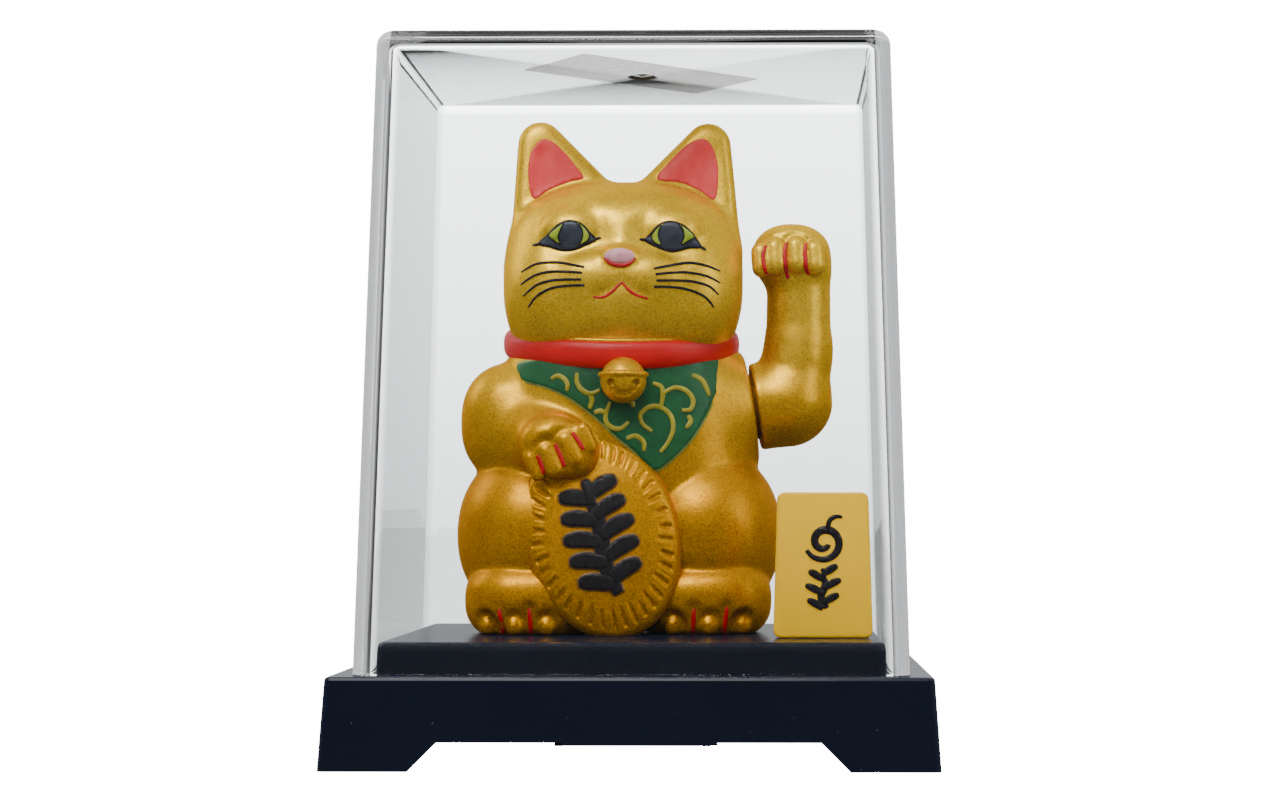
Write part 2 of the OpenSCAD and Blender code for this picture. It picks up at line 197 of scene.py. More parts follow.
@dataclass(frozen=True)
class Egg:
    """A rounded lump with three half sizes.

    A power above 2 makes it boxier.
    """

    centre: Point
    radii: Point
    power: float = 2.0
    turn: Point = (0.0, 0.0, 0.0)

    def reach(self) -> tuple[Array, Array]:
        """Lowest and highest corners of the lump.

        Returns:
            The two corners.
        """
        c = np.array(self.centre)
        r = np.full(3, max(self.radii)) if any(self.turn) else np.array(self.radii)
        return c - r, c + r

    def measure(self, x: Array, y: Array, z: Array) -> Array:
        """Distance from the lump's surface, below zero inside it.

        Args:
            x: places along X.
            y: places along Y.
            z: places along Z.

        Returns:
            The distances.
        """
        x, y, z = x - self.centre[0], y - self.centre[1], z - self.centre[2]
        if any(self.turn):
            back = Matrix.Identity(3)
            for angle, axis in zip(self.turn, "XYZ"):
                back = Matrix.Rotation(math.radians(angle), 3, axis) @ back
            m = back.transposed()
            x, y, z = (m[i][0] * x + m[i][1] * y + m[i][2] * z for i in range(3))
        parts = [np.abs(v) / r + 1e-6 for v, r in zip((x, y, z), self.radii)]
        n = self.power
        f = (parts[0] ** n + parts[1] ** n + parts[2] ** n) ** (1 / n)
        slope = sum((p ** (n - 1) / r) ** 2 for p, r in zip(parts, self.radii)) ** 0.5
        return (f - 1) * f ** (n - 1) / slope


@dataclass(frozen=True)
class Limb:
    """A straight limb that tapers from one round end to the other."""

    start: Point
    end: Point
    r0: float
    r1: float

    def reach(self) -> tuple[Array, Array]:
        """Lowest and highest corners of the limb."""
        a, b, r = np.array(self.start), np.array(self.end), max(self.r0, self.r1)
        return np.minimum(a, b) - r, np.maximum(a, b) + r

    def measure(self, x: Array, y: Array, z: Array) -> Array:
        """Distance from the limb's surface, below zero inside it.

        Args:
            x: places along X.
            y: places along Y.
            z: places along Z.

        Returns:
            The distances.
        """
        a, d = np.array(self.start), np.array(self.end) - np.array(self.start)
        t = ((x - a[0]) * d[0] + (y - a[1]) * d[1] + (z - a[2]) * d[2]) / (d @ d)
        t = np.clip(t, 0, 1)
        gap = (x - a[0] - t * d[0]) ** 2 + (y - a[1] - t * d[1]) ** 2 + (z - a[2] - t * d[2]) ** 2
        return np.sqrt(gap) - (self.r0 + (self.r1 - self.r0) * t)


@dataclass(frozen=True)
class Ear:
    """A rounded triangle that stands upright across the head, thinner at its tip."""

    corners: tuple[Spot, Spot, Spot]
    round: float
    y: float
    lean: float
    thick: float
    thin: float

    def reach(self) -> tuple[Array, Array]:
        """Lowest and highest corners of the ear.

        Returns:
            The two corners.
        """
        c = np.array(self.corners)
        low, high = c.min(0) - self.round, c.max(0) + self.round
        return np.array([low[0], self.y - 7, low[1]]), np.array([high[0], self.y + 8, high[1]])

    def measure(self, x: Array, y: Array, z: Array) -> Array:
        """Distance from the ear's surface, below zero inside it.

        Args:
            x: places along X.
            y: places along Y.
            z: places along Z.

        Returns:
            The distances.
        """
        flat, sign = None, None
        area = np.cross(
            np.subtract(self.corners[1], self.corners[0]),
            np.subtract(self.corners[2], self.corners[0]),
        )
        for i in range(3):
            a, b = np.array(self.corners[i]), np.array(self.corners[(i + 1) % 3])
            e = b - a
            t = np.clip(((x - a[0]) * e[0] + (z - a[1]) * e[1]) / (e @ e), 0, 1)
            gap = np.sqrt((x - a[0] - t * e[0]) ** 2 + (z - a[1] - t * e[1]) ** 2)
            side = (e[0] * (z - a[1]) - e[1] * (x - a[0])) * np.sign(area) > 0
            flat = gap if flat is None else np.minimum(flat, gap)
            sign = side if sign is None else sign & side
        flat = np.where(sign, -flat, flat) - self.round
        low = min(c[1] for c in self.corners)
        up = np.clip((z - low) / 20, 0, 1.2)
        deep = np.abs(y - self.y - self.lean * up) - (self.thick + (self.thin - self.thick) * up)
        return -soft_least(-flat, -deep, 3.0)


@dataclass(frozen=True)
class Block:
    """Everything on one side of a plane, within a height range."""

    point: Point
    normal: Point
    low: Point
    high: Point

    def reach(self) -> tuple[Array, Array]:
        """The stated range."""
        return np.array(self.low), np.array(self.high)

    def measure(self, x: Array, y: Array, z: Array) -> Array:
        """Distance from the plane, below zero on the far side of it.

        Args:
            x: places along X.
            y: places along Y.
            z: places along Z.

        Returns:
            The distances.
        """
        n = np.array(self.normal) / np.linalg.norm(self.normal)
        plane = -((x - self.point[0]) * n[0] + (y - self.point[1]) * n[1] + (z - self.point[2]) * n[2])
        return np.maximum(plane, np.maximum(self.low[2] - z, z - self.high[2]))


def soft_least(a: Array, b: Array, k: float) -> Array:
    """The lesser of two distances, rounded where they meet.

    Args:
        a: first distances.
        b: second distances.
        k: size of the rounding.

    Returns:
        The blended distances.
    """
    if k <= 0:
        return np.minimum(a, b)
    h = np.maximum(k - np.abs(a - b), 0) / k
    return np.minimum(a, b) - h * h * k / 4


class Clay:
    """A block of clay on a grid, which shapes are added to and cut from."""

    def __init__(self, low: Point, high: Point, pitch: float) -> None:
        """Starts with nothing in a box.

        Args:
            low: lowest corner of the box.
            high: highest corner of the box.
            pitch: distance between grid points.
        """
        self.low, self.pitch = np.array(low, float), pitch
        count = np.ceil((np.array(high) - self.low) / pitch).astype(int) + 1
        self.axes = [self.low[i] + pitch * np.arange(count[i]) for i in range(3)]
        self.d = np.full(count, 9.0, np.float32)

    def _window(self, shape: object, margin: float) -> tuple[tuple, list[Array]]:
        """The part of the grid near a shape, and its coordinates.

        Args:
            shape: the shape.
            margin: how far round it to look.

        Returns:
            The part of the grid, and the coordinates along each axis.
        """
        low, high = shape.reach()
        cut = []
        for i in range(3):
            a = int(np.clip(np.floor((low[i] - margin - self.low[i]) / self.pitch), 0, len(self.axes[i]) - 1))
            b = int(np.clip(np.ceil((high[i] + margin - self.low[i]) / self.pitch) + 1, a + 1, len(self.axes[i])))
            cut.append(slice(a, b))
        x, y, z = (self.axes[i][cut[i]].astype(np.float32) for i in range(3))
        return tuple(cut), [x[:, None, None], y[None, :, None], z[None, None, :]]

    def add(self, shape: object, k: float = 1.0) -> None:
        """Adds a shape, with a rounding of size k where it joins."""
        cut, at = self._window(shape, k + 2.5)
        self.d[cut] = soft_least(self.d[cut], shape.measure(*at).astype(np.float32), k)

    def cut(self, shape: object, k: float = 1.0) -> None:
        """Cuts a shape away, with a rounding of size k at its edge."""
        cut, at = self._window(shape, k + 2.5)
        self.d[cut] = -soft_least(-self.d[cut], shape.measure(*at).astype(np.float32), k)

    def floor(self, height: float) -> None:
        """Cuts everything below a height away."""
        below = (height - self.axes[2]).astype(np.float32)[None, None, :]
        self.d = np.maximum(self.d, below)

    def sample(self, points: Array) -> Array:
        """Distance at each of some points, read between the grid's points.

        Args:
            points: an array of points.

        Returns:
            One distance for each.
        """
        g = (points - self.low) / self.pitch
        g = np.clip(g, 0, np.array(self.d.shape) - 1.001)
        i = g.astype(int)
        f = g - i
        total = np.zeros(len(points))
        for dx in (0, 1):
            for dy in (0, 1):
                for dz in (0, 1):
                    w = (
                        (f[:, 0] if dx else 1 - f[:, 0])
                        * (f[:, 1] if dy else 1 - f[:, 1])
                        * (f[:, 2] if dz else 1 - f[:, 2])
                    )
                    total += w * self.d[i[:, 0] + dx, i[:, 1] + dy, i[:, 2] + dz]
        return total

    def slope(self, points: Array, step: float = 0.0) -> Array:
        """Direction in which the distance grows fastest at each point.

        Args:
            points: where to measure.
            step: how far apart to read, or 0 for a share of the pitch.

        Returns:
            One direction for each point.
        """
        step = step or self.pitch * 0.7
        out = np.empty((len(points), 3))
        for axis in range(3):
            push = np.zeros(3)
            push[axis] = step
            out[:, axis] = (self.sample(points + push) - self.sample(points - push)) / (2 * step)
        return out

    def skin(self, rounds: int = 2) -> tuple[Array, Array]:
        """The clay's surface, as points and four-sided faces.

        Args:
            rounds: how many times the surface is eased and pulled back on to the clay.

        Returns:
            The points and the faces.
        """
        inside = self.d < 0
        n = np.array(self.d.shape) - 1
        corners = np.array([(i, j, k) for i in (0, 1) for j in (0, 1) for k in (0, 1)])
        total = np.zeros(n, np.int8)
        for c in corners:
            total += inside[c[0] : c[0] + n[0], c[1] : c[1] + n[1], c[2] : c[2] + n[2]]
        mixed = (total > 0) & (total < 8)
        cells = np.argwhere(mixed)
        number = np.full(n, -1, np.int32)
        number[mixed] = np.arange(len(cells))
        place, count = np.zeros((len(cells), 3)), np.zeros(len(cells))
        for a in corners:
            for axis in range(3):
                if a[axis]:
                    continue
                b = a.copy()
                b[axis] = 1
                da, db = (self.d[tuple((cells + c).T)].astype(float) for c in (a, b))
                hit = (da < 0) != (db < 0)
                t = np.where(hit, da / np.where(hit, da - db, 1), 0)
                place[hit] += (a + t[:, None] * (b - a))[hit]
                count[hit] += 1
        points = self.low + (cells + place / count[:, None]) * self.pitch
        faces = []
        for axis in range(3):
            u, v = [i for i in range(3) if i != axis]
            first = [slice(None)] * 3
            second = [slice(None)] * 3
            first[axis], second[axis] = slice(0, -1), slice(1, None)
            a, b = inside[tuple(first)], inside[tuple(second)]
            change = a != b
            keep = np.zeros_like(change)
            box = [slice(None)] * 3
            box[u], box[v] = slice(1, -1), slice(1, -1)
            keep[tuple(box)] = change[tuple(box)]
            at = np.argwhere(keep)
            du, dv = np.eye(3, dtype=int)[u], np.eye(3, dtype=int)[v]
            ring = [number[tuple((at - k).T)] for k in (0 * du, du, du + dv, dv)]
            quad = np.stack(ring, 1)
            out = a[tuple(at.T)]
            if axis == 1:
                out = ~out
            quad[~out] = quad[~out][:, ::-1]
            faces.append(quad)
        faces = np.concatenate(faces)
        edges = np.concatenate([faces[:, [i, (i + 1) % 4]] for i in range(4)])
        for _ in range(rounds):
            near = np.zeros_like(points)
            for axis in range(3):
                near[:, axis] = np.bincount(edges[:, 0], points[edges[:, 1], axis], len(points))
            near /= np.maximum(np.bincount(edges[:, 0], minlength=len(points)), 1)[:, None]
            points = points + 0.6 * (near - points)
            for _ in range(2):
                slope = self.slope(points)
                steep = np.maximum((slope**2).sum(1), 0.3)
                move = -self.sample(points)[:, None] * slope / steep[:, None]
                points = points + np.clip(move, -self.pitch / 2, self.pitch / 2)
        return points, faces


# ---------------------------------------------------------------- outlines and paint


def curve(points: Sequence, closed: bool = False, per: int = 8) -> Array:
    """A smooth curve through some points.

    Args:
        points: the points, two or three numbers each.
        closed: True to join the last to the first.
        per: how many steps each stretch is cut into.

    Returns:
        The points of the curve.
    """
    p = np.array(points, float)
    n = len(p)
    out = []
    for i in range(n if closed else n - 1):
        ids = [(i + k) % n if closed else min(max(i + k, 0), n - 1) for k in (-1, 0, 1, 2)]
        a, b, c, d = p[ids]
        for t in np.arange(per) / per:
            out.append(
                0.5
                * (
                    2 * b
                    + (c - a) * t
                    + (2 * a - 5 * b + 4 * c - d) * t * t
                    + (3 * b - a - 3 * c + d) * t**3
                )
            )
    if not closed:
        out.append(p[-1])
    return np.array(out)


def stroke(points: Sequence, width: float, ends: Spot = (0.25, 0.25), per: int = 8) -> Array:
    """The outline of a brush stroke along a curve.

    Args:
        points: the points that its middle passes through.
        width: its full width at its widest.
        ends: its width at each end, as a share of the widest.
        per: how many steps each stretch is cut into.

    Returns:
        The outline, as a closed loop.
    """
    mid = curve(points, per=per)
    way = np.gradient(mid, axis=0)
    way /= np.maximum(np.linalg.norm(way, axis=1), 1e-9)[:, None]
    side = np.stack([-way[:, 1], way[:, 0]], 1)
    t = np.linspace(0, 1, len(mid))
    belly = np.sin(np.pi * np.clip(t, 0.02, 0.98)) ** 0.55
    share = belly + (1 - belly) * (ends[0] * (1 - t) + ends[1] * t)
    half = (width / 2 * share)[:, None]
    return np.concatenate([mid + side * half, (mid - side * half)[::-1]])


def shrink(loop: Array, by: float) -> Array:
    """A closed loop moved inwards.

    Args:
        loop: the loop's points.
        by: how far, in millimetres.

    Returns:
        The smaller loop.
    """
    way = np.roll(loop, -1, 0) - np.roll(loop, 1, 0)
    way /= np.maximum(np.linalg.norm(way, axis=1), 1e-9)[:, None]
    side = np.stack([-way[:, 1], way[:, 0]], 1)
    nxt = np.roll(loop, -1, 0)
    area = np.sum(loop[:, 0] * nxt[:, 1] - nxt[:, 0] * loop[:, 1])
    return loop + side * by * np.sign(area)


def within(loop: Array, spots: Array) -> Array:
    """Which of some spots lie inside a closed loop.

    Args:
        loop: the loop's points.
        spots: the spots to test.

    Returns:
        True or False for each spot.
    """
    inside = np.zeros(len(spots), bool)
    a, b = loop, np.roll(loop, -1, 0)
    for (x0, y0), (x1, y1) in zip(a, b):
        if y0 == y1:
            continue
        hit = (spots[:, 1] < y0) != (spots[:, 1] < y1)
        x = x0 + (spots[:, 1] - y0) * (x1 - x0) / (y1 - y0)
        inside ^= hit & (spots[:, 0] < x)
    return inside


def paint_shell(loop: Array, place: Placer, lift: float, sink: float, step: float) -> tuple:
    """A thin closed layer of paint with a given outline.

    Args:
        loop: the outline, as a closed loop of spots.
        place: puts spots on the painted surface at a height above it.
        lift: height of the layer's top.
        sink: depth of its underside.
        step: distance between the points inside the outline.

    Returns:
        The layer's points and faces.
    """
    low, high = loop.min(0), loop.max(0)
    xs = np.arange(low[0], high[0], step)
    ys = np.arange(low[1], high[1], step)
    grid = np.stack(np.meshgrid(xs, ys), -1).reshape(-1, 2)
    grid = grid[within(shrink(loop, step * 0.45), grid)] if len(grid) else grid
    spots = [Vector(p) for p in np.concatenate([loop, grid]).tolist()]
    n = len(loop)
    rim = [(i, (i + 1) % n) for i in range(n)]
    flat, _, faces, *_ = delaunay_2d_cdt(spots, rim, [list(range(n))], 1, 1e-4)
    flat = np.array([tuple(p) for p in flat])
    faces = [tuple(f) for f in faces]
    turned = []
    for f in faces:
        a, b, c = flat[list(f[:3])]
        area = (b[0] - a[0]) * (c[1] - a[1]) - (b[1] - a[1]) * (c[0] - a[0])
        turned.append(f if area > 0 else f[::-1])
    once: dict[tuple[int, int], tuple[int, int]] = {}
    for f in turned:
        for i in range(len(f)):
            a, b = f[i], f[(i + 1) % len(f)]
            if (b, a) in once:
                del once[(b, a)]
            else:
                once[(a, b)] = (a, b)
    top, bottom = place(flat, lift), place(flat, -sink)
    m = len(flat)
    shell = list(turned)
    shell += [tuple(i + m for i in f[::-1]) for f in turned]
    shell += [(a, a + m, b + m, b) for a, b in once]
    return np.concatenate([top, bottom]), shell


@dataclass
class Layers:
    """Several layers of paint that become one piece."""

    points: list = field(default_factory=list)
    faces: list = field(default_factory=list)
    count: int = 0

    def lay(self, loop: Array, place: Placer, lift: float, sink: float = 0.3, step: float = 0.6) -> None:
        """Adds one layer.

        Args:
            loop: its outline.
            place: puts spots on the surface.
            lift: height of its top.
            sink: depth of its underside.
            step: distance between its inner points.
        """
        points, faces = paint_shell(loop, place, lift, sink, step)
        self.points.append(points)
        self.faces += [tuple(i + self.count for i in f) for f in faces]
        self.count += len(points)

    def make(self, name: str, finish: Material, slot: str) -> bpy.types.Object:
        """Makes the piece."""
        return make_piece(name, np.concatenate(self.points), self.faces, finish, Body.STAND, slot=slot)


class Brush:
    """Paints on a surface along straight lines from a point in front of the cat.

    A spot is a place on an upright plane just in front of the face, in the row's X and Z.
    """

    EYE = np.array([23.0, -457.0, 45.8])

    def __init__(self, points: Array, faces: Array, plane: float = -12.0) -> None:
        """Takes the surface to paint."""
        self.tree = BVHTree.FromPolygons(points.tolist(), faces.tolist())
        self.plane = plane

    def spots(self, points: Array) -> Array:
        """Where points of the row's frame are seen on the upright plane.

        Args:
            points: points in the row's frame.

        Returns:
            The spots.
        """
        way = points - self.EYE
        way = self.EYE + way * ((self.plane - self.EYE[1]) / way[:, 1])[:, None]
        return way[:, [0, 2]]

    def __call__(self, spots: Array, lift: float) -> Array:
        """Puts spots on the surface.

        Args:
            spots: places on the upright plane.
            lift: height above the surface, towards the brush.

        Returns:
            The places, in the row's frame.
        """
        aim = np.column_stack([spots[:, 0], np.full(len(spots), self.plane), spots[:, 1]]) - self.EYE
        aim /= np.linalg.norm(aim, axis=1)[:, None]
        out = np.empty((len(spots), 3))
        missed = []
        for i, way in enumerate(aim):
            hit = self.tree.ray_cast(Vector(self.EYE), Vector(way))[0]
            if hit is None:
                missed.append(i)
                out[i] = self.EYE + way * 470
            else:
                out[i] = hit
        if missed:
            good = np.setdiff1d(np.arange(len(spots)), missed)
            for i in missed:
                near = good[np.argmin(((spots[good] - spots[i]) ** 2).sum(1))]
                depth = (out[near] - self.EYE) @ aim[near]
                out[i] = self.EYE + aim[i] * depth
        return out - aim * lift


# ---------------------------------------------------------------- finishes


def rgb(red: float, green: float, blue: float) -> tuple[float, float, float, float]:
    """A colour given in display steps of 0 to 255, as light."""
    part = [v / 255 for v in (red, green, blue)]
    return (*[v / 12.92 if v <= 0.04045 else ((v + 0.055) / 1.055) ** 2.4 for v in part], 1.0)


class Mixer:
    """Makes one material's nodes and joins them."""

    def __init__(self, name: str) -> None:
        """Starts an empty material.

        Args:
            name: the material's name.
        """
        self.material = bpy.data.materials.new(name)
        self.material.use_nodes = True
        self.tree = self.material.node_tree
        self.tree.nodes.clear()
        self.where = self.add("ShaderNodeTexCoord").outputs["Object"]

    def add(self, kind: str, settings: dict | None = None, **inputs: object) -> bpy.types.Node:
        """Adds a node.

        Args:
            kind: the node's type.
            settings: its own settings.
            **inputs: its inputs by name, with _ for a space, or by number after a leading _.

        Returns:
            The node.
        """
        node = self.tree.nodes.new(kind)
        for key, value in (settings or {}).items():
            setattr(node, key, value)
        for key, value in inputs.items():
            plug = node.inputs[int(key[1:]) if key[0] == "_" else key.replace("_", " ")]
            if isinstance(value, Socket):
                self.tree.links.new(value, plug)
            else:
                plug.default_value = value
        return node

    def grain(self, size: float, detail: float = 2, stretch: Point = (1, 1, 1), rough: float = 0.5) -> Socket:
        """Noise whose lumps have a given size.

        Args:
            size: size of the lumps, in millimetres.
            detail: how many finer layers it has.
            stretch: how much longer they are along each axis.
            rough: strength of the finer layers.

        Returns:
            The noise, from 0 to 1.
        """
        spread = tuple(1 / s for s in stretch)
        place = self.add("ShaderNodeMapping", None, Vector=self.where, Scale=spread).outputs[0]
        node = self.add("ShaderNodeTexNoise", None, Vector=place, Scale=1 / (size * MM), Detail=detail, Roughness=rough)
        return node.outputs["Fac"]

    def sort(self, value: Socket, low: float, high: float, a: float = 0.0, b: float = 1.0) -> Socket:
        """Maps a value's range on to another."""
        node = self.add("ShaderNodeMapRange", None, Value=value, From_Min=low, From_Max=high, To_Min=a, To_Max=b)
        return node.outputs[0]

    def blend(self, share: Socket, a: object, b: object) -> Socket:
        """Mixes two colours."""
        node = self.add("ShaderNodeMix", {"data_type": "RGBA"}, _0=share, _6=a, _7=b)
        return node.outputs[2]

    def bump(self, height: Socket, depth: float, after: Socket | None = None) -> Socket:
        """Bumps on the surface.

        Args:
            height: their height, from 0 to 1.
            depth: how deep they are, in millimetres.
            after: bumps that these are laid over.

        Returns:
            The surface's direction.
        """
        node = self.add("ShaderNodeBump", None, Height=height, Distance=depth * MM, Strength=1.0)
        if after is not None:
            self.tree.links.new(after, node.inputs["Normal"])
        return node.outputs[0]

    def maths(self, kind: str, *values: object, clamp: bool = False) -> Socket:
        """One sum on numbers."""
        inputs = {f"_{i}": value for i, value in enumerate(values)}
        return self.add("ShaderNodeMath", {"operation": kind, "use_clamp": clamp}, **inputs).outputs[0]

    def heights(self) -> Socket:
        """Height above the ground, in metres."""
        return self.add("ShaderNodeSeparateXYZ", None, _0=self.where).outputs[2]

    def skin(self, **inputs: object) -> bpy.types.Node:
        """The main shader."""
        return self.add("ShaderNodeBsdfPrincipled", None, **inputs)

    def done(self, shader: Socket) -> Material:
        """Joins a shader to the output and gives the material."""
        self.add("ShaderNodeOutputMaterial", None, Surface=shader)
        return self.material


@dataclass(frozen=True)
class GoldPaint:
    """Metallic gold lacquer with a fine glitter, and painted light: paler towards the top where the light falls, deeper
    towards the foot in painted shade.
    """

    name: str
    # Painted light: the first colour is the lit top, the second the shaded foot, and low and high are the heights in
    # millimetres between which the colour changes.
    painted_lit_top: tuple = rgb(218, 166, 18)
    deep: tuple = rgb(170, 113, 2)
    low: float = 52.0
    high: float = 92.0
    rough: float = 0.37

    def make(self) -> Material:
        """Makes the material.

        Returns:
            The material.
        """
        m = Mixer(self.name)
        cloud = m.grain(9, 3)
        glitter = m.grain(0.34, 2, rough=0.7)
        # Painted light and shade: the colour, glitter included, runs from deep at the foot to pale at the top, with a
        # little random cloud in the ramp.
        up = m.sort(m.heights(), self.low * MM, self.high * MM)
        up = m.maths("ADD", up, m.sort(cloud, 0.3, 0.7, -0.12, 0.12), clamp=True)
        base = m.blend(up, self.deep, self.painted_lit_top)
        base = m.blend(m.sort(glitter, 0.35, 0.72), base, m.blend(up, rgb(220, 152, 0), rgb(250, 208, 56)))
        dark = m.blend(m.sort(glitter, 0.3, 0.44, 0.35, 0.0), base, rgb(120, 70, 2))
        rough = m.sort(m.grain(1.1, 3), 0.25, 0.75, self.rough - 0.07, self.rough + 0.08)
        normal = m.bump(glitter, 0.018, m.bump(m.grain(2.4, 2), 0.04))
        return m.done(
            m.skin(
                Base_Color=dark,
                Metallic=0.93,
                Roughness=rough,
                Normal=normal,
                Specular_IOR_Level=0.35,
                Specular_Tint=rgb(240, 190, 60),
                Coat_Weight=0.02,
                Coat_Roughness=0.22,
            ).outputs[0]
        )


@dataclass(frozen=True)
class Enamel:
    """Brushed enamel paint, with faint streaks and a soft gloss."""

    name: str
    colour: tuple
    other: tuple
    rough: float = 0.38
    streak: Point = (1, 1, 3)
    shine: float = 0.4

    def make(self) -> Material:
        """Makes the material.

        Returns:
            The material.
        """
        m = Mixer(self.name)
        cloud = m.grain(1.6, 3, self.streak)
        base = m.blend(m.sort(cloud, 0.3, 0.72), self.colour, self.other)
        rough = m.sort(m.grain(0.7, 2), 0.3, 0.7, self.rough - 0.06, self.rough + 0.08)
        normal = m.bump(m.grain(0.45, 2), 0.02, m.bump(cloud, 0.03))
        return m.done(
            m.skin(
                Base_Color=base,
                Roughness=rough,
                Normal=normal,
                Specular_IOR_Level=self.shine,
                Coat_Weight=0.05,
                Coat_Roughness=0.2,
            ).outputs[0]
        )


@dataclass(frozen=True)
class Moulded:
    """Moulded plastic with a faint skin texture, a few scuffs and dust."""

    name: str
    colour: tuple
    scuff: tuple
    rough: float = 0.3
    skin: float = 0.012
    dust: float = 0.25
    shine: float = 0.5

    def make(self) -> Material:
        """Makes the material.

        Returns:
            The material.
        """
        m = Mixer(self.name)
        cloud = m.grain(14, 3)
        speck = m.sort(m.grain(0.9, 1), 0.79, 0.82, 0.0, self.dust)
        base = m.blend(m.sort(cloud, 0.3, 0.75, 0, 0.35), self.colour, self.scuff)
        base = m.blend(speck, base, rgb(190, 188, 184))
        line = m.grain(0.5, 3, (14, 1, 1.4))
        rough = m.sort(line, 0.3, 0.8, self.rough - 0.04, self.rough + 0.06)
        normal = m.bump(m.grain(0.5, 2), self.skin)
        return m.done(m.skin(Base_Color=base, Roughness=rough, Normal=normal, Specular_IOR_Level=self.shine).outputs[0])


@dataclass(frozen=True)
class ClearPlastic:
    """Clear moulded styrene with hair scratches and a pale band of painted highlight down each upright corner, which
    lets light straight through its shadow.
    """

    name: str
    edges: tuple[Spot, Spot] = ((47.3, 48.8), (37.3, 38.8))
    draft: float = 0.026
    # Painted highlight: how much of the pale corner band is mixed in.
    painted_corner_sheen: float = 0.36

    def make(self) -> Material:
        """Makes the material.

        Returns:
            The material.
        """
        m = Mixer(self.name)
        scratch = m.grain(0.5, 3, (18, 18, 1))
        rough = m.sort(scratch, 0.62, 0.8, 0.004, 0.06)
        body = m.skin(
            Base_Color=rgb(250, 252, 253),
            Roughness=rough,
            Transmission_Weight=1.0,
            IOR=1.46,
            Specular_IOR_Level=0.5,
        )
        clear = m.add("ShaderNodeBsdfTransparent", None, Color=rgb(247, 249, 250))
        split = m.add("ShaderNodeSeparateXYZ", None, _0=m.where)
        # Painted highlight: a pale diffuse band is mixed in near each upright corner, standing in for the light that
        # the rounded corners refract.
        near = []
        for axis, (low, high) in enumerate(self.edges):
            off = m.maths("ABSOLUTE", split.outputs[axis])
            upright = m.maths("MULTIPLY_ADD", split.outputs[2], self.draft, off)
            near.append(m.sort(upright, low * MM, high * MM))
        painted_corner_sheen = m.add("ShaderNodeBsdfDiffuse", None, Color=rgb(236, 238, 240), Roughness=0.4)
        share = m.maths("MULTIPLY", m.maths("MULTIPLY", near[0], near[1]), self.painted_corner_sheen)
        sheened_body = m.add("ShaderNodeMixShader", None, _0=share, _1=body.outputs[0], _2=painted_corner_sheen.outputs[0])
        ray = m.add("ShaderNodeLightPath").outputs["Is Shadow Ray"]
        both = m.add("ShaderNodeMixShader", None, _0=ray, _1=sheened_body.outputs[0], _2=clear.outputs[0])
        return m.done(both.outputs[0])


@dataclass(frozen=True)
class Film:
    """A thin grey film stuck to the case, which is half see-through."""

    name: str

    def make(self) -> Material:
        """Makes the material.

        Returns:
            The material.
        """
        m = Mixer(self.name)
        tone = m.blend(m.sort(m.grain(5, 3), 0.3, 0.7), rgb(196, 192, 186), rgb(222, 219, 214))
        body = m.skin(Base_Color=tone, Roughness=0.45, Normal=m.bump(m.grain(3, 2), 0.05))
        clear = m.add("ShaderNodeBsdfTransparent", None, Color=rgb(232, 231, 228))
        share = m.sort(m.grain(2, 2), 0.2, 0.8, 0.26, 0.34)
        return m.done(m.add("ShaderNodeMixShader", None, _0=share, _1=clear.outputs[0], _2=body.outputs[0]).outputs[0])


@dataclass(frozen=True)
class BareMetal:
    """Plated or drawn metal with fine draw lines and a little tarnish."""

    name: str
    colour: tuple
    tarnish: tuple
    rough: float = 0.28
    lines: Point = (1, 1, 8)

    def make(self) -> Material:
        """Makes the material.

        Returns:
            The material.
        """
        m = Mixer(self.name)
        line = m.grain(0.16, 3, self.lines)
        base = m.blend(m.sort(m.grain(2.6, 4), 0.42, 0.78, 0, 0.7), self.colour, self.tarnish)
        rough = m.sort(line, 0.25, 0.75, self.rough - 0.08, self.rough + 0.12)
        return m.done(m.skin(Base_Color=base, Metallic=1.0, Roughness=rough, Normal=m.bump(line, 0.01)).outputs[0])


@dataclass(frozen=True)
class Banded:
    """A hard surface whose colour changes in bands along one axis, such as a wrapped cell or a board with tracks."""

    name: str
    colour: tuple
    band: tuple
    pitch: float
    share: float
    axis: int = 1
    metal: float = 0.0
    rough: float = 0.35

    def make(self) -> Material:
        """Makes the material.

        Returns:
            The material.
        """
        m = Mixer(self.name)
        at = m.add("ShaderNodeSeparateXYZ", None, _0=m.where).outputs[self.axis]
        wave = m.maths("PINGPONG", at, self.pitch * MM)
        edge = self.pitch * self.share * MM
        cover = m.sort(wave, edge, edge + 0.08 * MM)
        base = m.blend(m.sort(m.grain(1.8, 3), 0.3, 0.8, 0, 0.3), self.colour, rgb(40, 36, 30))
        base = m.blend(cover, self.band, base)
        normal = m.bump(m.grain(0.4, 2), 0.012, m.bump(cover, 0.04))
        return m.done(m.skin(Base_Color=base, Metallic=self.metal, Roughness=self.rough, Normal=normal).outputs[0])


# ---------------------------------------------------------------- pieces made by node trees


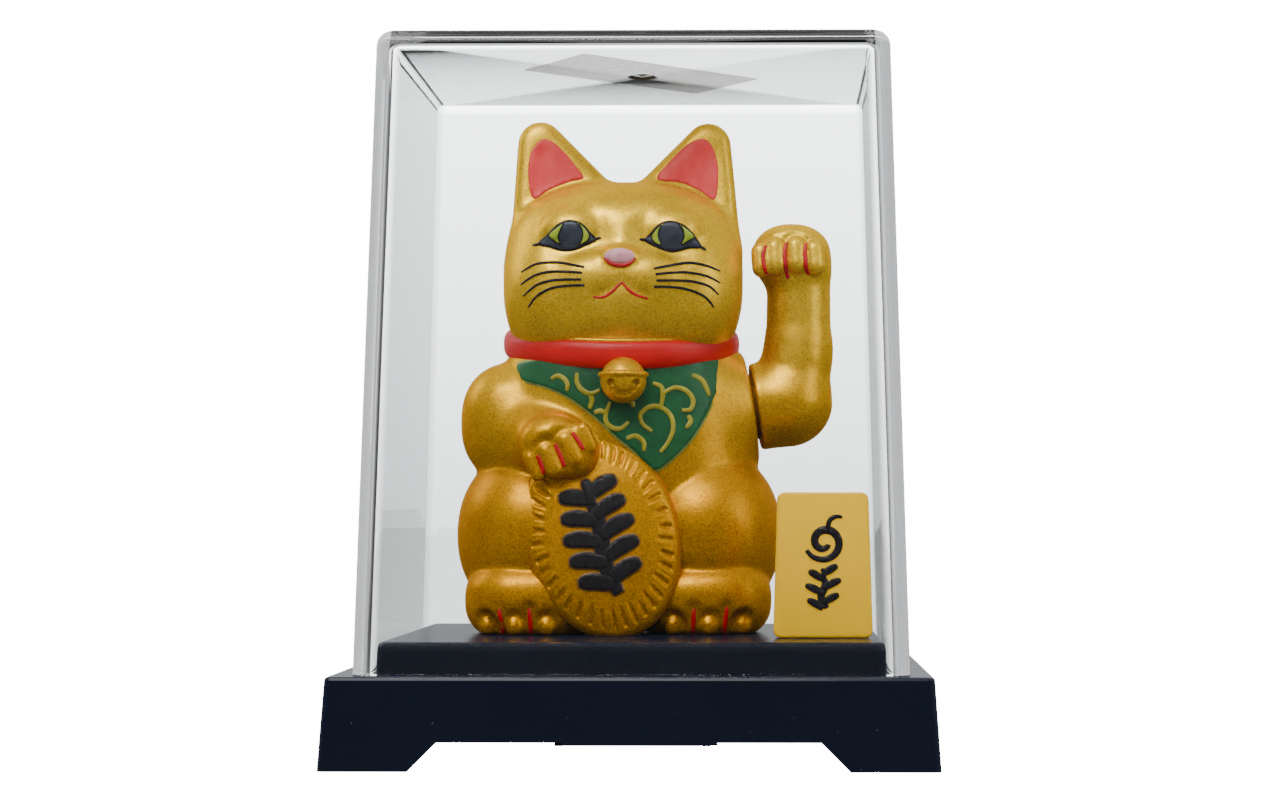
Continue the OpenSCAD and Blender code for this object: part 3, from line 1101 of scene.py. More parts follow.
class Wirework:
    """Round wire swept along a path, made by one node tree with its sizes as named inputs."""

    _tree: bpy.types.NodeTree | None = None

    @classmethod
    def tree(cls) -> bpy.types.NodeTree:
        """The node tree, made once.

        Returns:
            The tree.
        """
        if cls._tree is None:
            t = bpy.data.node_groups.new("swept_wire", "GeometryNodeTree")
            face = t.interface
            face.new_socket("Geometry", in_out="INPUT", socket_type="NodeSocketGeometry")
            face.new_socket("Wire radius", in_out="INPUT", socket_type="NodeSocketFloat")
            face.new_socket("Sides", in_out="INPUT", socket_type="NodeSocketInt")
            face.new_socket("Finish", in_out="INPUT", socket_type="NodeSocketMaterial")
            face.new_socket("Geometry", in_out="OUTPUT", socket_type="NodeSocketGeometry")
            n, link = t.nodes.new, t.links.new
            start, end = n("NodeGroupInput"), n("NodeGroupOutput")
            path, ring = n("GeometryNodeMeshToCurve"), n("GeometryNodeCurvePrimitiveCircle")
            sweep = n("GeometryNodeCurveToMesh")
            real, coat = n("GeometryNodeRealizeInstances"), n("GeometryNodeSetMaterial")
            link(start.outputs["Geometry"], path.inputs["Mesh"])
            link(start.outputs["Wire radius"], ring.inputs["Radius"])
            link(start.outputs["Sides"], ring.inputs["Resolution"])
            link(path.outputs[0], sweep.inputs["Curve"])
            link(ring.outputs[0], sweep.inputs["Profile Curve"])
            sweep.inputs["Fill Caps"].default_value = True
            link(sweep.outputs[0], real.inputs[0])
            link(real.outputs[0], coat.inputs["Geometry"])
            link(start.outputs["Finish"], coat.inputs["Material"])
            link(coat.outputs[0], end.inputs[0])
            cls._tree = t
        return cls._tree

    @classmethod
    def make(cls, name: str, path: Array, radius: float, sides: int, finish: Material) -> bpy.types.Object:
        """Makes one wire.

        Args:
            name: the piece's name.
            path: the points that its middle follows, in the row's frame.
            radius: the wire's radius in millimetres.
            sides: how many sides its section has.
            finish: its material.

        Returns:
            The wire, as plain mesh.
        """
        mesh = bpy.data.meshes.new(name)
        n = len(path)
        mesh.from_pydata((np.asarray(path) * MM).tolist(), [(i, i + 1) for i in range(n - 1)], [])
        obj = bpy.data.objects.new(name, mesh)
        bpy.context.scene.collection.objects.link(obj)
        run_tree(obj, cls.tree(), {"Wire radius": radius * MM, "Sides": sides, "Finish": finish})
        return obj


def run_tree(obj: bpy.types.Object, tree: bpy.types.NodeTree, sizes: dict) -> None:
    """Runs a node tree on an object and keeps the result as plain mesh.

    Args:
        obj: the object.
        tree: the node tree.
        sizes: its named inputs.
    """
    step = obj.modifiers.new(tree.name, "NODES")
    step.node_group = tree
    plugs = {item.name: item.identifier for item in tree.interface.items_tree if item.in_out == "INPUT"}
    for key, value in sizes.items():
        step[plugs[key]] = value
    bake_modifiers(obj)


# ---------------------------------------------------------------- the cat


@dataclass
class CatBody:
    """The hollow gold body: torso, haunches, feet, head, ears and holding arm."""

    head_x: float = 0.8
    pitch: float = 0.64
    eyes: tuple[float, float] = (-9.5, 10.3)
    eye_z: float = 76.6
    bob_x: float = 8.5
    bob_drop: float = 21.6

    def trunk(self, clay: Clay) -> None:
        """Shapes the torso and the neck.

        Args:
            clay: the body's clay.
        """
        clay.add(Egg((0, 2.6, 17), (28.8, 19.2, 23), 2.8), 0)
        clay.add(Egg((-0.2, 1.2, 37), (26.8, 19.6, 20), 2.5), 6)
        clay.add(Egg((0.6, 0.6, 52), (21.6, 17.8, 10), 2.4), 7)

    def ear(self, side: int, inner: bool) -> Ear:
        """One ear, or the hollow in its front.

        Args:
            side: -1 for the cat's right ear, 1 for its left.
            inner: True for the hollow.

        Returns:
            The shape.
        """
        at = lambda x, z: (self.head_x + 0.5 + side * (x + self.head_x + 0.8), z)
        if inner:
            return Ear((at(15.4, 80.5), at(14.6, 94.0), at(6.0, 82.2)), 3.2, -8.4, 2.7, 3.3, 4.0)
        near = 0.6 if side > 0 else 0.0
        return Ear((at(16.7, 76), at(15.5 - near, 97.0), at(2.4 - near, 83.4)), 4.6, -1.4, 1.4, 4.6, 2.8)

    def head(self, clay: Clay) -> None:
        """Shapes the head, the muzzle and the ears.

        Args:
            clay: the body's clay.
        """
        x = self.head_x
        skull = Clay((-32, -26, 50), (34, 24, 108), self.pitch)
        skull.add(Egg((x, 0, 67.2), (22.8, 19.2, 15.2), 2.5), 0)
        skull.add(Egg((x - 0.1, -0.5, 61.8), (21.4, 18.2, 9.6), 2.9), 5)
        skull.add(Egg((x, 0.3, 75.5), (22.2, 18.2, 13.6), 2.35), 7)
        for s in (-1, 1):
            skull.add(Egg((x + s * 12.6, -9.8, 66), (8.4, 8.2, 8.4)), 6)
        for eye in self.eyes:
            near = eye - math.copysign(0.5, eye)
            skull.cut(Egg((eye, -21.2, self.eye_z + 1.0), (8.4, 4.2, 6.2)), 3.0)
            skull.add(Egg((near, -13.9, self.eye_z + 1.2), (6.7, 4.9, 4.9)), 1.0)
        for s in (-1, 1):
            skull.add(Egg((x - 0.6 + s * 4.6, -18.2, 68.2), (5.8, 3.6, 4.2)), 3.2)
        skull.add(Egg((x - 0.8, -20.6, 72.6), (3.3, 1.7, 1.7)), 1.4)
        skull.add(Egg((x - 0.4, -17.4, 62.6), (5.4, 2.6, 2.6)), 5)
        for s in (-1, 1):
            skull.cut(Limb((x - 0.4, -22.6, 67.2), (x - 0.4 + s * 4.6, -21.6, 64.9), 0.7, 0.6), 1.2)
        skull.cut(Limb((x - 0.6, -23.2, 70.8), (x - 0.4, -22.9, 67.4), 0.7, 0.6), 1.2)
        ears = Clay((-32, -26, 50), (34, 24, 108), self.pitch)
        for s in (-1, 1):
            ears.add(self.ear(s, False), 0)
            ears.cut(self.ear(s, True), 0.9)
        skull.d = soft_least(skull.d, ears.d, 1.6)
        self.merge(clay, skull, 1.5)

    @staticmethod
    def merge(clay: Clay, part: Clay, k: float) -> None:
        """Joins a part shaped on its own grid to the main clay.

        Args:
            clay: the main clay.
            part: the part.
            k: size of the rounding.
        """
        cut, at = clay._window(Block((0, 0, 0), (0, 0, 1), part.low, [a[-1] for a in part.axes]), 0)
        grid = np.broadcast_arrays(*at)
        read = part.sample(np.stack([g.ravel() for g in grid], 1)).reshape(grid[0].shape)
        clay.d[cut] = soft_least(clay.d[cut], read.astype(np.float32), k)

    def legs(self, clay: Clay) -> None:
        """Shapes the haunches, the feet, their toes and the tail.

        Args:
            clay: the body's clay.
        """
        for s in (-1, 1):
            clay.add(Egg((s * 16.4 + 0.2, -2.2, 19), (15.6, 18.6, 17.2), 2.15), 0.6)
            clay.add(Egg((s * 16.6, -8.6, 6.4), (13.2, 13.4, 8.4), 2.6), 0.6)
        clay.add(Limb((9, 20.4, 3), (9.6, 21.4, 9), 4.2, 5.0), 2)
        for x in (-25.0, -19.8, -13.7, 10.3, 17.2, 23.6):
            off = (x - math.copysign(16.6, x)) / 11.6
            y = -8.6 - 12.3 * (1 - min(1, abs(off)) ** 2.4) ** (1 / 2.4)
            clay.cut(Egg((x, y - 0.9, 1.9), (2.5, 1.6, 2.9)), 1.0)
            clay.add(Egg((x, y + 0.8, 1.7), (1.7, 1.5, 1.9)), 0.5)
        for x, low in ((-22.6, -22.1), (-16.9, -16.6), (14.3, 14.1), (20.5, 20.0)):
            clay.cut(Limb((x, -21.9, 5.2), (low, -22.3, 0), 0.9, 1.3), 1.2)

    def arms(self, clay: Clay) -> None:
        """Shapes the arm that holds the coin, its paw, and the shoulder stub of the waving arm.

        Args:
            clay: the body's clay.
        """
        clay.add(Egg((-20.0, -2, 41.0), (11.2, 12.6, 12.0), 2.35), 1.3)
        clay.add(Limb((-19, -7, 38.8), (-12.2, -17.6, 36.4), 9.0, 6.0), 1.4)
        clay.add(Egg((-11.4, -20.2, 35.4), (7.6, 4.4, 5.4), 2.2, (0, 20, 0)), 2)
        for (x, z), r in (((-16.3, 32.0), 1.4), ((-13.2, 33.2), 2.0), ((-9.5, 35.2), 2.1), ((-6.2, 37.4), 1.4)):
            clay.cut(Limb((x - 0.9, -24.9, z + 2.4), (x + 1.0, -25.4, z - 2.0), r + 0.5, r + 0.5), 1.0)
            clay.add(Limb((x - 0.7, -22.0, z + 1.7), (x + 0.9, -22.5, z - 1.7), r, r * 0.92), 0.6)
        stub = Clay((0, -20, 26), (34, 20, 64), self.pitch)
        stub.add(Limb((11, 0, 45.2), (33, 0, 43.9), 12.2, 8.0), 0)
        self.merge(clay, stub, 5)
        t = math.radians(Size.SHOULDER_TILT.value)
        face = (Size.SHOULDER.value, 0, Size.AXLE.value)
        clay.cut(Block(face, (math.cos(t), 0, math.sin(t)), (20, -24, 32), (40, 24, 59)), 0.5)
        clay.add(Bore(6.4, 20, 28.5), 0)

    def cavity(self, clay: Clay) -> None:
        """Hollows the body and bores the hole for the axle.

        Args:
            clay: the body's clay.
        """
        clay.cut(Egg((0, 2, 3), (22.3, 15.3, 34), 2.0), 0)
        clay.cut(Egg((0, 2.4, 19), (26.0, 17.2, 16)), 1)
        clay.cut(Egg((0, 1, 41), (24.2, 16.4, 9.4)), 3)
        clay.cut(Egg((0.4, 0.8, 50), (18.6, 14.4, 12)), 3)
        clay.cut(Egg((self.head_x, 0.2, 70), (19.4, 15.6, 14)), 3)
        clay.cut(Limb((10, 0, Size.AXLE.value), (40, 0, Size.AXLE.value), 2.6, 2.6), 0)
        clay.cut(Bore(5.4, 26.2, 32), 0)
        for angle in range(-22, 31, 6):
            turn = math.radians(angle)
            low = Size.AXLE.value - self.bob_drop * math.cos(turn)
            bob = (self.bob_x, self.bob_drop * math.sin(turn), low)
            clay.cut(Egg(bob, (8.0, 7.6, 7.6)), 0)
            clay.cut(Limb((self.bob_x, 0, Size.AXLE.value), bob, 4.6, 4.4), 0)
        clay.floor(0.0)

    def shape(self) -> Clay:
        """Shapes the whole body.

        Returns:
            The finished clay.
        """
        clay = Clay((-36, -29, -2), (36, 30, 104), self.pitch)
        self.trunk(clay)
        self.legs(clay)
        self.arms(clay)
        self.head(clay)
        return clay

    def build(self, finish: Material) -> tuple[Array, Array]:
        """Makes the body.

        Args:
            finish: its material.

        Returns:
            The outer surface's points and faces, in the row's frame.
        """
        clay = self.shape()
        solid, faces = clay.skin()
        solid = CAT.to_row(solid)
        self.cavity(clay)
        points, shell = clay.skin()
        obj = make_piece("gold_body", CAT.to_row(points), shell, finish, Body.STAND, ["cat_body"], "gold_ceramic")
        fix_outward(obj)
        return solid, faces


def fix_outward(obj: bpy.types.Object) -> None:
    """Turns a closed piece's faces outwards if they point in.

    Args:
        obj: the piece.
    """
    mesh = obj.data
    mesh.calc_loop_triangles()
    co = np.empty(len(mesh.vertices) * 3)
    mesh.vertices.foreach_get("co", co)
    co = co.reshape(-1, 3)
    ids = np.empty(len(mesh.loop_triangles) * 3, np.int32)
    mesh.loop_triangles.foreach_get("vertices", ids)
    a, b, c = (co[ids.reshape(-1, 3)[:, i]] for i in range(3))
    if np.einsum("ij,ij->i", a, np.cross(b, c)).sum() < 0:
        mesh.flip_normals()


@dataclass
class RaisedArm:
    """The waving arm, hollow round its hub, with four curled fingers."""

    gap: float = 0.8
    pitch: float = 0.5
    knuckles: tuple = ((27.9, 72.9, 1.9), (30.8, 73.6, 2.15), (34.9, 73.9, 2.15), (38.6, 73.4, 2.0))

    def shape(self) -> Clay:
        """Shapes the arm.

        Returns:
            The finished clay.
        """
        clay = Clay((22, -14, 30), (48, 14, 86), self.pitch)
        clay.add(Limb((20, 0, 43.6), (33.6, 0, 45.0), 8.9, 8.5), 0)
        clay.add(Limb((34.2, 0, 45.8), (35.9, 0, 56), 8.2, 6.5), 2)
        clay.add(Limb((35.9, 0, 55), (36.0, 0, 70), 6.5, 6.35), 2)
        clay.add(Egg((34.5, -0.4, 74.6), (7.9, 7.6, 6.5), 2.2), 2.5)
        for x, z, r in self.knuckles:
            clay.cut(Limb((x, -8.6, z + 3.0), (x + 0.2, -8.9, z - 2.4), r + 0.75, r + 0.55), 0.8)
        for x, z, r in self.knuckles:
            clay.add(Limb((x, -6.1, z + 2.0), (x + 0.2, -6.7, z - 1.3), r, r), 0.45)
        t = math.radians(Size.SHOULDER_TILT.value)
        beyond = Block(
            (Size.SHOULDER.value + self.gap, 0, Size.AXLE.value),
            (-math.cos(t), 0, -math.sin(t)),
            (0, -20, 30),
            (60, 20, 60),
        )
        clay.cut(beyond, 0.5)
        clay.cut(Limb((29.6, 0, 44.2), (33.8, 0, 45.6), 6.6, 6.6), 0.3)
        clay.add(Limb((27.9, 0, 44.4), (32, 0, 44.4), 4.6, 4.6), 0.3)
        clay.cut(beyond, 0)
        clay.cut(Ring(4.75, 7.0, 20, 29.3), 0)
        clay.cut(Bore(3.22, 20, 35.6), 0)
        return clay

    def build(self, finish: Material) -> tuple[Array, Array]:
        """Makes the arm.

        Args:
            finish: its material.

        Returns:
            Its points and faces, in the row's frame.
        """
        points, faces = self.shape().skin()
        points = CAT.to_row(points)
        fix_outward(make_piece("gold_arm", points, faces, finish, Body.ARM, ["raised_arm"], "gold_plastic"))
        return points, faces


@dataclass(frozen=True)
class Bore:
    """A round hole along the axle."""

    radius: float
    start: float
    end: float

    def reach(self) -> tuple[Array, Array]:
        """Lowest and highest corners of the hole."""
        z = Size.AXLE.value
        return np.array([self.start, -self.radius, z - self.radius]), np.array([self.end, self.radius, z + self.radius])

    def measure(self, x: Array, y: Array, z: Array) -> Array:
        """Distance from the hole's wall, below zero inside it."""
        ring = np.sqrt(y**2 + (z - Size.AXLE.value) ** 2) - self.radius
        return np.maximum(ring, np.maximum(self.start - x, x - self.end))


@dataclass(frozen=True)
class Ring(Bore):
    """A round groove about the axle, for the shoulder's ring to run in."""

    outer: float = 0.0

    def __init__(self, inner: float, outer: float, start: float, end: float) -> None:
        """Takes the groove's two radii and its ends."""
        for key, value in (("radius", inner), ("outer", outer), ("start", start), ("end", end)):
            object.__setattr__(self, key, value)

    def reach(self) -> tuple[Array, Array]:
        """Lowest and highest corners of the groove."""
        return Bore(self.outer, self.start, self.end).reach()

    def measure(self, x: Array, y: Array, z: Array) -> Array:
        """Distance from the groove's wall, below zero inside it."""
        whole = Bore(self.outer, self.start, self.end).measure(x, y, z)
        return np.maximum(whole, self.radius - np.sqrt(y**2 + (z - Size.AXLE.value) ** 2))


@dataclass
class Collar:
    """The red collar and the thin gold lip above it."""

    centre: Point = (0.5, 0.0, 56.9)
    half_x: float = 21.5
    half_y: float = 18.6
    tilt: float = 10.4

    def ring(self, name: str, grow: float, lift: float, wide: float, tall: float, finish: Material, slot: str) -> None:
        """Makes one ring round the neck.

        Args:
            name: the piece's name.
            grow: how far its middle lies outside the collar's.
            lift: how far its middle lies above the collar's.
            wide: half its thickness.
            tall: half its height.
            finish: its material.
            slot: the record's material slot.
        """
        n, m = 192, 20
        t = np.arange(n) * 2 * math.pi / n
        u = np.arange(m) * 2 * math.pi / m
        cu = np.sign(np.cos(u)) * np.abs(np.cos(u)) ** 0.85
        su = np.sign(np.sin(u)) * np.abs(np.sin(u)) ** 0.8
        wave = 1 + 0.012 * np.sin(5 * t + 0.6) + 0.01 * np.sin(9 * t)
        away = grow + wide * cu[None, :] * wave[:, None]
        x = (self.half_x + away) * np.cos(t)[:, None]
        y = (self.half_y + away) * np.sin(t)[:, None]
        z = lift + tall * su[None, :] * wave[:, None] + 0 * x
        a = math.radians(self.tilt)
        points = np.stack(
            [
                self.centre[0] + x,
                self.centre[1] + y * math.cos(a) - z * math.sin(a),
                self.centre[2] + y * math.sin(a) + z * math.cos(a),
            ], -1
        ).reshape(-1, 3)
        faces = [
            (i * m + j, (i + 1) % n * m + j, (i + 1) % n * m + (j + 1) % m, i * m + (j + 1) % m)
            for i in range(n)
            for j in range(m)
        ]
        fix_outward(make_piece(name, CAT.to_row(points), faces, finish, Body.STAND, slot=slot))

    def build(self, red: Material, gold: Material) -> None:
        """Makes the collar and its lip."""
        self.ring("red_collar", 0.3, 0, 1.75, 2.7, red, "gold_ceramic")
        self.ring("collar_lip", -0.5, 2.75, 1.3, 0.55, gold, "gold_ceramic")


@dataclass
class Bell:
    """The round bell on the collar, with its band and its curved slot."""

    centre: Point = (0.75, -20.6, 48.5)
    radius: float = 4.4

    def build(self, finish: Material) -> None:
        """Makes the bell.

        Args:
            finish: its material.
        """
        x, y, z = self.centre
        r = self.radius
        clay = Clay((x - 6, y - 6, z - 6), (x + 6, y + 6, z + 6), 0.2)
        clay.add(Egg(self.centre, (r, r, r)), 0)
        for i in range(24):
            a, b = (math.radians(15 * k) for k in (i, i + 1))
            ring = [(x + (r - 0.05) * math.cos(t), y + (r - 0.05) * math.sin(t), z + 1.1) for t in (a, b)]
            clay.add(Limb(ring[0], ring[1], 0.42, 0.42), 0.35)
        slot = [(-2.3, -0.7), (-1.8, -1.7), (-0.9, -2.4), (0, -2.6), (0.9, -2.4), (1.8, -1.7), (2.3, -0.7)]
        deep = [(x + u, y - math.sqrt(r * r - u * u - v * v) + 0.4, z + v) for u, v in slot]
        for a, b in zip(deep, deep[1:]):
            clay.cut(Limb(a, b, 0.66, 0.66), 0.2)
        for spot in (deep[0], deep[-1]):
            clay.cut(Egg(spot, (0.75, 0.9, 0.75)), 0.3)
        points, faces = clay.skin(1)
        fix_outward(make_piece("bell", CAT.to_row(points), faces, finish, Body.STAND, slot="gold_ceramic"))


@dataclass
class Coin:
    """The domed oval coin with a crimped edge."""

    centre: Point = (-3.3, -20.4, 18.9)
    wide: float = 14.2
    tall: float = 19.2
    lean: float = -15.0
    back: float = 8.0
    dome: float = 2.7
    thick: float = 4.2
    crimps: int = 38

    def level(self, r: Array, turn: Array) -> Array:
        """Height of the coin's face.

        Args:
            r: distance from the middle as a share of the edge's.
            turn: direction from the middle, in radians.

        Returns:
            The heights in millimetres.
        """
        base = self.dome * np.clip(1 - r**2.6, 0, 1) ** 0.72
        noise = np.random.default_rng(7).uniform(-1, 1, (3, self.crimps))
        k = turn / (2 * math.pi) * self.crimps
        i = np.floor(k).astype(int) % self.crimps
        off = (k % 1) - 0.5 - 0.12 * noise[0][i]
        groove = np.exp(-((off / 0.17) ** 2))
        start, end = 0.74 + 0.03 * noise[1][i], 0.955
        along = np.clip((r - start) / 0.07, 0, 1) * np.clip((end - r) / 0.03, 0, 1)
        swell = 0.16 * np.exp(-(((np.abs(off) - 0.34) / 0.16) ** 2)) * along
        return base - (0.42 + 0.12 * noise[2][i]) * groove * along + swell

    def place(self, spots: Array, lift: float) -> Array:
        """Puts spots of the coin's own plane on its face.

        Args:
            spots: places right and up from the middle.
            lift: height above the face.

        Returns:
            The places, in the row's frame.
        """
        r = np.hypot(spots[:, 0] / self.wide, spots[:, 1] / self.tall)
        turn = np.arctan2(spots[:, 1] / self.tall, spots[:, 0] / self.wide)
        return self.turn(np.column_stack([spots, self.level(np.minimum(r, 1), turn % (2 * math.pi)) + lift]))

    def turn(self, points: Array) -> Array:
        """Leans the coin and puts it in front of the cat."""
        m = Matrix.Rotation(math.radians(self.lean), 3, "Y") @ Matrix.Rotation(math.radians(90 - self.back), 3, "X")
        return CAT.to_row(points @ np.array(m).T + np.array(self.centre))

    def build(self, finish: Material) -> None:
        """Makes the coin.

        Args:
            finish: its material.
        """
        n, rings = self.crimps * 10, 34
        share = np.concatenate([np.linspace(0, 0.7, 10)[1:], np.linspace(0.7, 1, rings - 8)[1:]])
        t = np.arange(n) * 2 * math.pi / n
        rows = [
            np.column_stack(
                [s * self.wide * np.cos(t), s * self.tall * np.sin(t), self.level(np.full(n, s), t)]
            )
            for s in share
        ]
        for drop, grow in ((0.5, 0.45), (1.2, 0.75), (2.2, 0.8), (3.4, 0.4), (self.thick, -0.4)):
            rows.append(
                np.column_stack(
                    [(self.wide + grow) * np.cos(t), (self.tall + grow) * np.sin(t), np.full(n, -drop)]
                )
            )
        points = np.concatenate([np.array([[0, 0, self.dome]]), *rows, np.array([[0, 0, -self.thick]])])
        faces: list = [(0, 1 + i, 1 + (i + 1) % n) for i in range(n)]
        for k in range(len(rows) - 1):
            a, b = 1 + k * n, 1 + (k + 1) * n
            faces += [(a + i, b + i, b + (i + 1) % n, a + (i + 1) % n) for i in range(n)]
        last = len(points) - 1
        faces += [(last, last - n + (i + 1) % n, last - n + i) for i in range(n)]
        fix_outward(make_piece("coin", self.turn(points), faces, finish, Body.STAND, slot="gold_ceramic"))


def sprig(height: float, leaves: int, size: float) -> list[Array]:
    """A bold leafy sprig, as brush strokes round its middle.

    Args:
        height: height of the sprig.
        leaves: how many pairs of leaves it has.
        size: length of the longest leaf.

    Returns:
        The strokes' outlines.
    """
    half = height / 2
    loops = [
        stroke(
            [(0.7, -half), (-0.4, -half * 0.4), (0.4, half * 0.3), (-0.1, half * 0.8)],
            size * 0.42,
            (0.6, 0.3),
            12,
        )
    ]
    for i in range(leaves):
        z = -half * 0.72 + (half * 1.62) * i / (leaves - 1)
        long = size * (1 - 0.35 * abs(i / (leaves - 1) - 0.4))
        for s in (-1, 1):
            z0 = z + s * 0.5
            loops.append(
                stroke(
                    [(0, z0 - 0.5), (s * long * 0.5, z0 + long * 0.14), (s * long, z0 + long * 0.1 + 0.8)],
                    size * 0.42,
                    (0.6, 0.2),
                    12,
                )
            )
    loops.append(stroke([(0, half * 0.72), (0.2, half), (-0.3, half * 1.2)], size * 0.3, (0.5, 0.15), 12))
    return loops


def scroll(turns: float, r0: float, r1: float, start: float, wide: float) -> Array:
    """A brush stroke that curls in on itself.

    Args:
        turns: how many turns it makes.
        r0: distance from the middle at its outer end.
        r1: distance from the middle at its inner end.
        start: direction of its outer end, in degrees.
        wide: width of the stroke.

    Returns:
        The stroke's outline.
    """
    t = np.linspace(0, 1, 22)
    a = np.radians(start) + 2 * math.pi * turns * t
    r = r0 + (r1 - r0) * t
    return stroke(np.column_stack([r * np.cos(a), r * np.sin(a)]), wide, (0.4, 0.5), 3)


@dataclass
class Paints:
    """The enamels used on the cat."""

    black: Material
    grey: Material
    leaf: Material
    pink: Material
    red: Material
    ear: Material
    green: Material
    scroll: Material
    edge: Material


@dataclass
class FacePaint:
    """The painted face: eyes, nose, mouth, whiskers and ears."""

    paints: Paints
    eyes: tuple = (
        [
            (-19.3, 96.7), (-17.3, 98.8), (-15.5, 100.6), (-13.3, 101.4), (-10.9, 100.7), (-9.2, 98.9),
            (-8.0, 97.5), (-10.0, 96.4), (-12.3, 95.5), (-14.6, 95.3), (-16.8, 95.9),
        ],
        [
            (12.0, 96.0), (10.7, 98.3), (8.9, 100.2), (6.2, 101.2), (3.9, 100.6), (2.1, 98.7), (1.0, 97.4),
            (2.7, 96.3), (5.1, 95.3), (7.0, 95.1), (9.6, 95.8),
        ],
    )
    corners: tuple = (
        [(-20.4, 96.5), (-19.2, 96.7), (-17.6, 97.4)],
        [(-7.2, 97.9), (-8.2, 97.7), (-9.6, 97.4)],
        [(0.1, 97.6), (1.2, 97.5), (2.6, 97.4)],
        [(12.9, 95.5), (11.9, 96.1), (10.4, 97.0)],
    )
    moons: tuple = (
        [(-17.3, 98.5), (-15.8, 99.9), (-14.5, 100.7), (-15.0, 99.3), (-15.4, 98.0), (-15.0, 96.6), (-16.5, 97.5)],
        [(-11.7, 100.9), (-10.3, 99.9), (-9.4, 98.4), (-9.9, 97.2), (-11.3, 96.6), (-10.8, 98.0), (-10.9, 99.5)],
        [(4.6, 100.6), (3.2, 99.5), (2.4, 98.2), (3.0, 96.9), (4.3, 96.5), (3.8, 98.0), (3.9, 99.4)],
        [(7.8, 100.5), (9.3, 99.6), (10.7, 98.1), (9.5, 97.2), (8.1, 96.5), (8.6, 98.0), (8.4, 99.4)],
    )
    nose: tuple = (
        (-6.6, 94.3), (-5.8, 95.4), (-3.6, 95.9), (-1.5, 95.4), (-0.8, 94.2), (-1.8, 93.3), (-3.6, 93.0),
        (-5.6, 93.4),
    )
    lip: tuple = ((-6.7, 94.1), (-5.4, 93.0), (-3.6, 92.6), (-1.9, 92.9), (-0.6, 94.0))
    mouth: tuple = (
        [(-8.7, 86.6), (-6.9, 86.5), (-5.3, 87.4), (-4.1, 88.6), (-3.2, 89.4)],
        [(-3.2, 89.4), (-2.0, 88.0), (-0.4, 86.9), (1.8, 86.2)],
    )
    whiskers: tuple = (
        [(-22.5, 91.3), (-19.6, 92.9), (-15.8, 93.2), (-13.0, 92.8), (-10.4, 92.3)],
        [(-22.6, 88.9), (-19.9, 90.7), (-16.8, 91.4), (-13.6, 91.4), (-10.8, 91.2)],
        [(-22.1, 86.7), (-19.6, 88.8), (-16.8, 89.7), (-13.9, 89.9), (-11.0, 89.9)],
        [(-21.1, 84.5), (-19.6, 86.6), (-16.8, 88.2), (-13.6, 88.7), (-10.4, 88.8)],
        [(15.6, 91.5), (12.7, 92.6), (9.6, 93.1), (6.1, 92.6), (2.9, 92.0)],
        [(15.6, 89.2), (13.1, 90.5), (9.6, 91.2), (6.4, 91.2), (3.2, 90.9)],
        [(15.3, 86.9), (13.4, 88.6), (10.2, 89.5), (6.7, 89.7), (3.4, 89.7)],
        [(14.4, 84.5), (12.7, 86.5), (9.9, 87.8), (6.7, 88.4), (2.9, 88.5)],
    )
    ears: tuple = (
        [
            (-21.2, 106.9), (-22.2, 111.7), (-21.6, 116.0), (-19.6, 118.4), (-17.4, 117.9), (-15.1, 115.9),
            (-12.9, 113.2), (-11.4, 110.9), (-14.1, 110.1), (-18.0, 108.6),
        ],
        [
            (3.1, 110.6), (5.0, 113.5), (8.6, 117.1), (11.5, 118.5), (13.4, 117.6), (14.6, 114.8),
            (15.0, 111.2), (14.3, 106.6), (11.2, 108.4), (7.6, 109.9),
        ],
    )

    def eye_paint(self, brush: Brush) -> None:
        """Paints both eyes in four layers.

        Args:
            brush: paints on the face.
        """
        rim, iris, line, leaf = Layers(), Layers(), Layers(), Layers()
        for outline in self.eyes:
            loop = curve(outline, True, 6)
            rim.lay(loop, brush, 0.1)
            iris.lay(shrink(loop, 0.42), brush, 0.17)
        for corner in self.corners:
            rim.lay(stroke(corner, 0.55, (0.2, 0.9), 6), brush, 0.11)
        for moon in self.moons:
            loop = curve(moon, True, 5)
            line.lay(shrink(loop, -0.12), brush, 0.23, step=0.5)
            leaf.lay(shrink(loop, 0.16), brush, 0.29, step=0.5)
        rim.make("eye_outlines", self.paints.black, "gold_ceramic")
        iris.make("eye_pupils", self.paints.grey, "gold_ceramic")
        line.make("eye_leaf_outlines", self.paints.black, "gold_ceramic")
        leaf.make("eye_leaves", self.paints.leaf, "gold_ceramic")

    def build(self, brush: Brush, ear_brush: Brush) -> None:
        """Paints the face.

        Args:
            brush: paints on the face.
            ear_brush: paints on the ears.
        """
        self.eye_paint(brush)
        pink, red, hair, ears = Layers(), Layers(), Layers(), Layers()
        pink.lay(curve(self.nose, True, 6), brush, 0.14)
        pink.make("nose", self.paints.pink, "gold_ceramic")
        red.lay(stroke(self.lip, 0.75, (0.25, 0.25)), brush, 0.2)
        for half in self.mouth:
            red.lay(stroke(half, 0.55, (0.45, 0.45)), brush, 0.12)
        red.make("mouth", self.paints.red, "gold_ceramic")
        for line in self.whiskers:
            hair.lay(stroke(line, 0.5, (0.3, 0.95)), brush, 0.1)
        hair.make("whiskers", self.paints.black, "gold_ceramic")
        for ear in self.ears:
            ears.lay(curve(ear, True, 6), ear_brush, 0.1)
        ears.make("ear_linings", self.paints.ear, "gold_ceramic")


